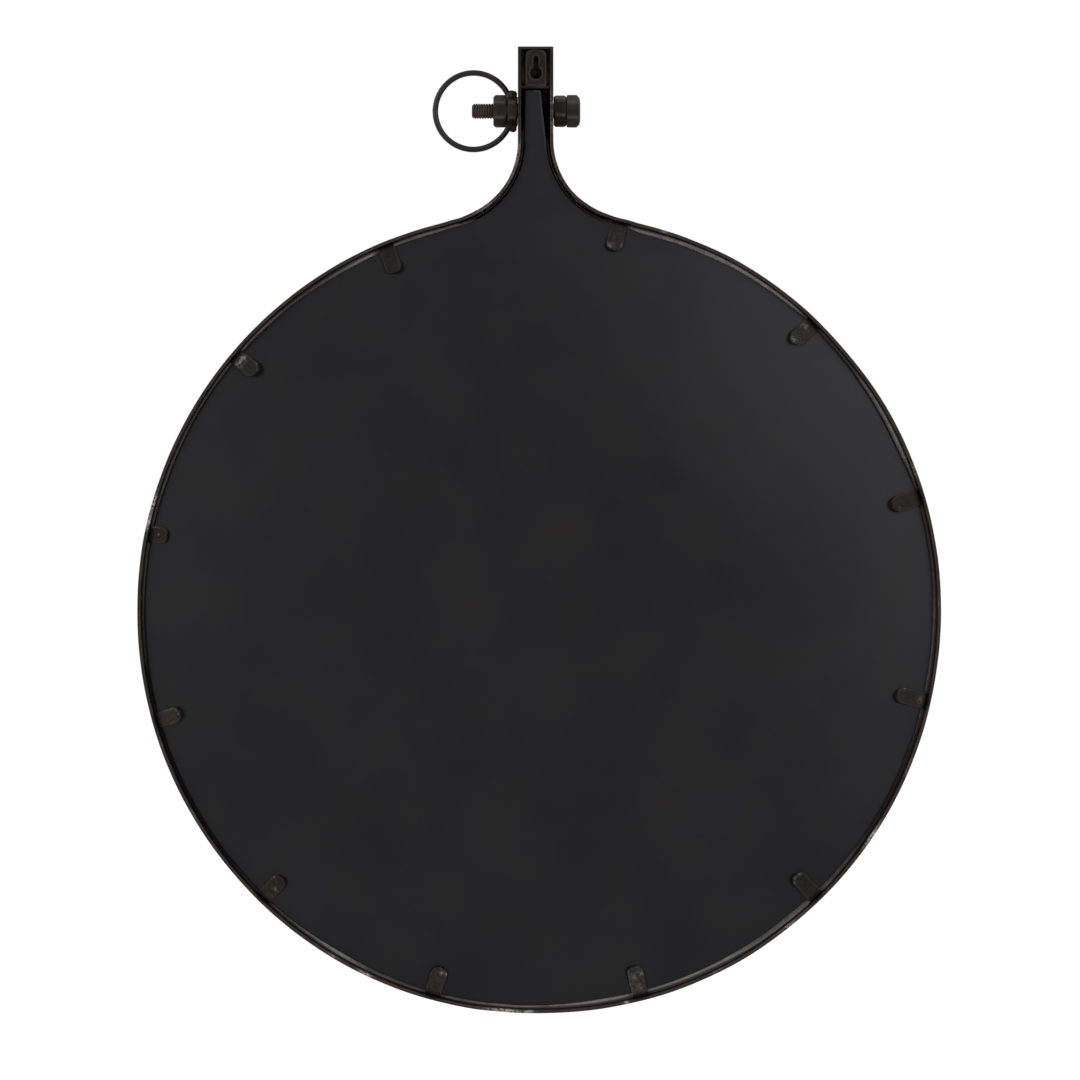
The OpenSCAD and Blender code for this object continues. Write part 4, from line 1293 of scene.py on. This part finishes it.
def make_welds(weld, bright):
    """Runs of weld at the cap and the shelf, and a seam down each flare where the front sheet meets the
    strap."""
    for side, name, seam_top, seam_inset in (
        (1, "left", -43 * MM, 1.3 * MM),
        (-1, "right", -53 * MM, 1.9 * MM),
    ):
        x = NECK_X + side * (NECK_HALF - STRAP_T - 0.3 * MM)
        z = CAP_FOOT - 0.3 * MM
        bead = weld_bead([(x, HANGER_REAR - 1 * MM, z), (x, FRONT + 2 * MM, z)], radius=0.8 * MM, seed=41)
        piece(f"cap_weld_{name}", bead, "frame", [weld])
        z = SHELF_TOP + 0.2 * MM
        path = [(x, HANGER_REAR - 0.6 * MM, z), (x, HANGER_REAR - 7 * MM, z)]
        bead = weld_bead(path, radius=0.9 * MM, seed=43)
        piece(f"shelf_weld_{name}", bead, "frame", [weld])
        centre, at_neck, _ = flare_arc(side)
        foot = at_neck + side * math.radians(76)
        seam = along_arc(centre, FLARE_R + STRAP_T + seam_inset, at_neck, foot, FINE_STEP)
        seam = np.concatenate([[[seam[0, 0] - side * 0.6 * MM, seam_top]], seam])
        path = np.insert(seam, 1, BOARD_REAR - 1.5 * MM, axis=1)
        piece(f"seam_weld_{name}", weld_bead(path, radius=0.75 * MM, seed=45), "frame", [bright])


# Stage


def make_camera():
    """The photograph's view: level, square to the wall side."""
    frame_w, distance, sensor = 879.1 * MM, 3500 * MM, 36
    middle_x, middle_z = -3.26 * MM, -380.4 * MM
    camera = bpy.data.cameras.new("camera")
    camera.sensor_width = sensor
    camera.lens = sensor * distance / frame_w
    camera.clip_end = 100
    holder = bpy.data.objects.new("camera", camera)
    holder.location = (middle_x, REAR + distance, middle_z)
    holder.rotation_euler = (math.pi / 2, 0, math.pi)
    bpy.context.scene.collection.objects.link(holder)
    bpy.context.scene.camera = holder


def seen_directly(tree):
    """1 for what the camera sees itself, or in metal or through glass, and 0 for the light on the
    object."""
    rays = ("Camera", "Glossy", "Transmission")
    seen = [add(tree, "ShaderNodeLightPath", out=f"Is {ray} Ray") for ray in rays]
    either = add(tree, "ShaderNodeMath", {0: seen[0], 1: seen[1]}, operation="MAXIMUM")
    return add(tree, "ShaderNodeMath", {0: either, 1: seen[2]}, operation="MAXIMUM")


def make_lights():
    """Plain soft daylight: an even sky, and three broad lamps of low strength round the object."""
    for name, strength, azimuth, elevation, spread in (
        ("key", 1.15, 136, 15, 26),
        ("fill", 1.0, 224, 13, 26),
        ("front", 0.9, 50, 15, 50),
    ):
        lamp = bpy.data.lights.new(name, "SUN")
        lamp.energy = strength
        lamp.angle = math.radians(spread)
        holder = bpy.data.objects.new(name, lamp)
        holder.rotation_euler = (math.radians(90 - elevation), 0, math.radians(azimuth))
        bpy.context.scene.collection.objects.link(holder)
    world = bpy.data.worlds.new("studio")
    world.use_nodes = True
    tree = world.node_tree
    level = {"Value": seen_directly(tree), "To Min": 0.5, "To Max": 1.0}
    level = add(tree, "ShaderNodeMapRange", level, "Result")
    background = tree.nodes["Background"]
    background.inputs["Color"].default_value = (1, 1, 1, 1)
    tree.links.new(level, background.inputs["Strength"])
    bpy.context.scene.world = world


def make_floor():
    """A plain pale floor, well below the mirror, which would hang on a wall."""
    material, tree, shader, at = start_material("pale_floor")
    shade = patches(tree, at, 400 * MM, 0.2, 0.8, 2.0)
    colour = add(tree, "ShaderNodeMix", {0: shade, 6: "#F2F2F1", 7: "#F5F5F4"}, 2, data_type="RGBA")
    tree.links.new(colour, shader.inputs["Base Color"])
    shader.inputs["Roughness"].default_value = 0.9
    shader.inputs["Emission Color"].default_value = (1, 1, 1, 1)
    glow, radius, drop = 0.33, 12, 0.33
    lit = add(tree, "ShaderNodeMath", {0: seen_directly(tree), 1: glow}, operation="MULTIPLY")
    tree.links.new(lit, shader.inputs["Emission Strength"])
    angle = np.linspace(0, 2 * np.pi, 96, endpoint=False)
    ring = np.array([0, 0.3, 1])[:, None] * radius
    level = 0 * ring * angle + cad_low[Z] - drop
    points = np.stack([ring * np.cos(angle), ring * np.sin(angle), level], axis=2)
    made = surface(points, round_columns=True)
    mesh = bpy.data.meshes.new("floor")
    mesh.from_pydata(made["points"].tolist(), [], made["faces"].tolist())
    shell = bmesh.new()
    shell.from_mesh(mesh)
    bmesh.ops.remove_doubles(shell, verts=shell.verts, dist=SAME_PLACE)
    for face in shell.faces:
        if face.normal.z < 0:
            face.normal_flip()
    shell.to_mesh(mesh)
    shell.free()
    mesh.materials.append(material)
    floor = bpy.data.objects.new("floor", mesh)
    bpy.context.scene.collection.objects.link(floor)


# The whole scene

make_camera()
make_lights()
make_floor()
strap_iron, sheet_iron, weld_brown = waxed_strap(), black_sheet(), weld_metal()
make_strap(strap_iron)
make_front_sheet(sheet_iron)
make_bars(strap_iron, sheet_iron)
make_hanger(hanger_paint())
make_board()
make_glass()
make_clips(clip_iron())
make_bolt(bolt_steel(), thread_rust())
make_ring(ring_wire(), weld_brown)
make_welds(weld_brown, brushed_weld())
bpy.context.scene.view_settings.view_transform = "Standard"
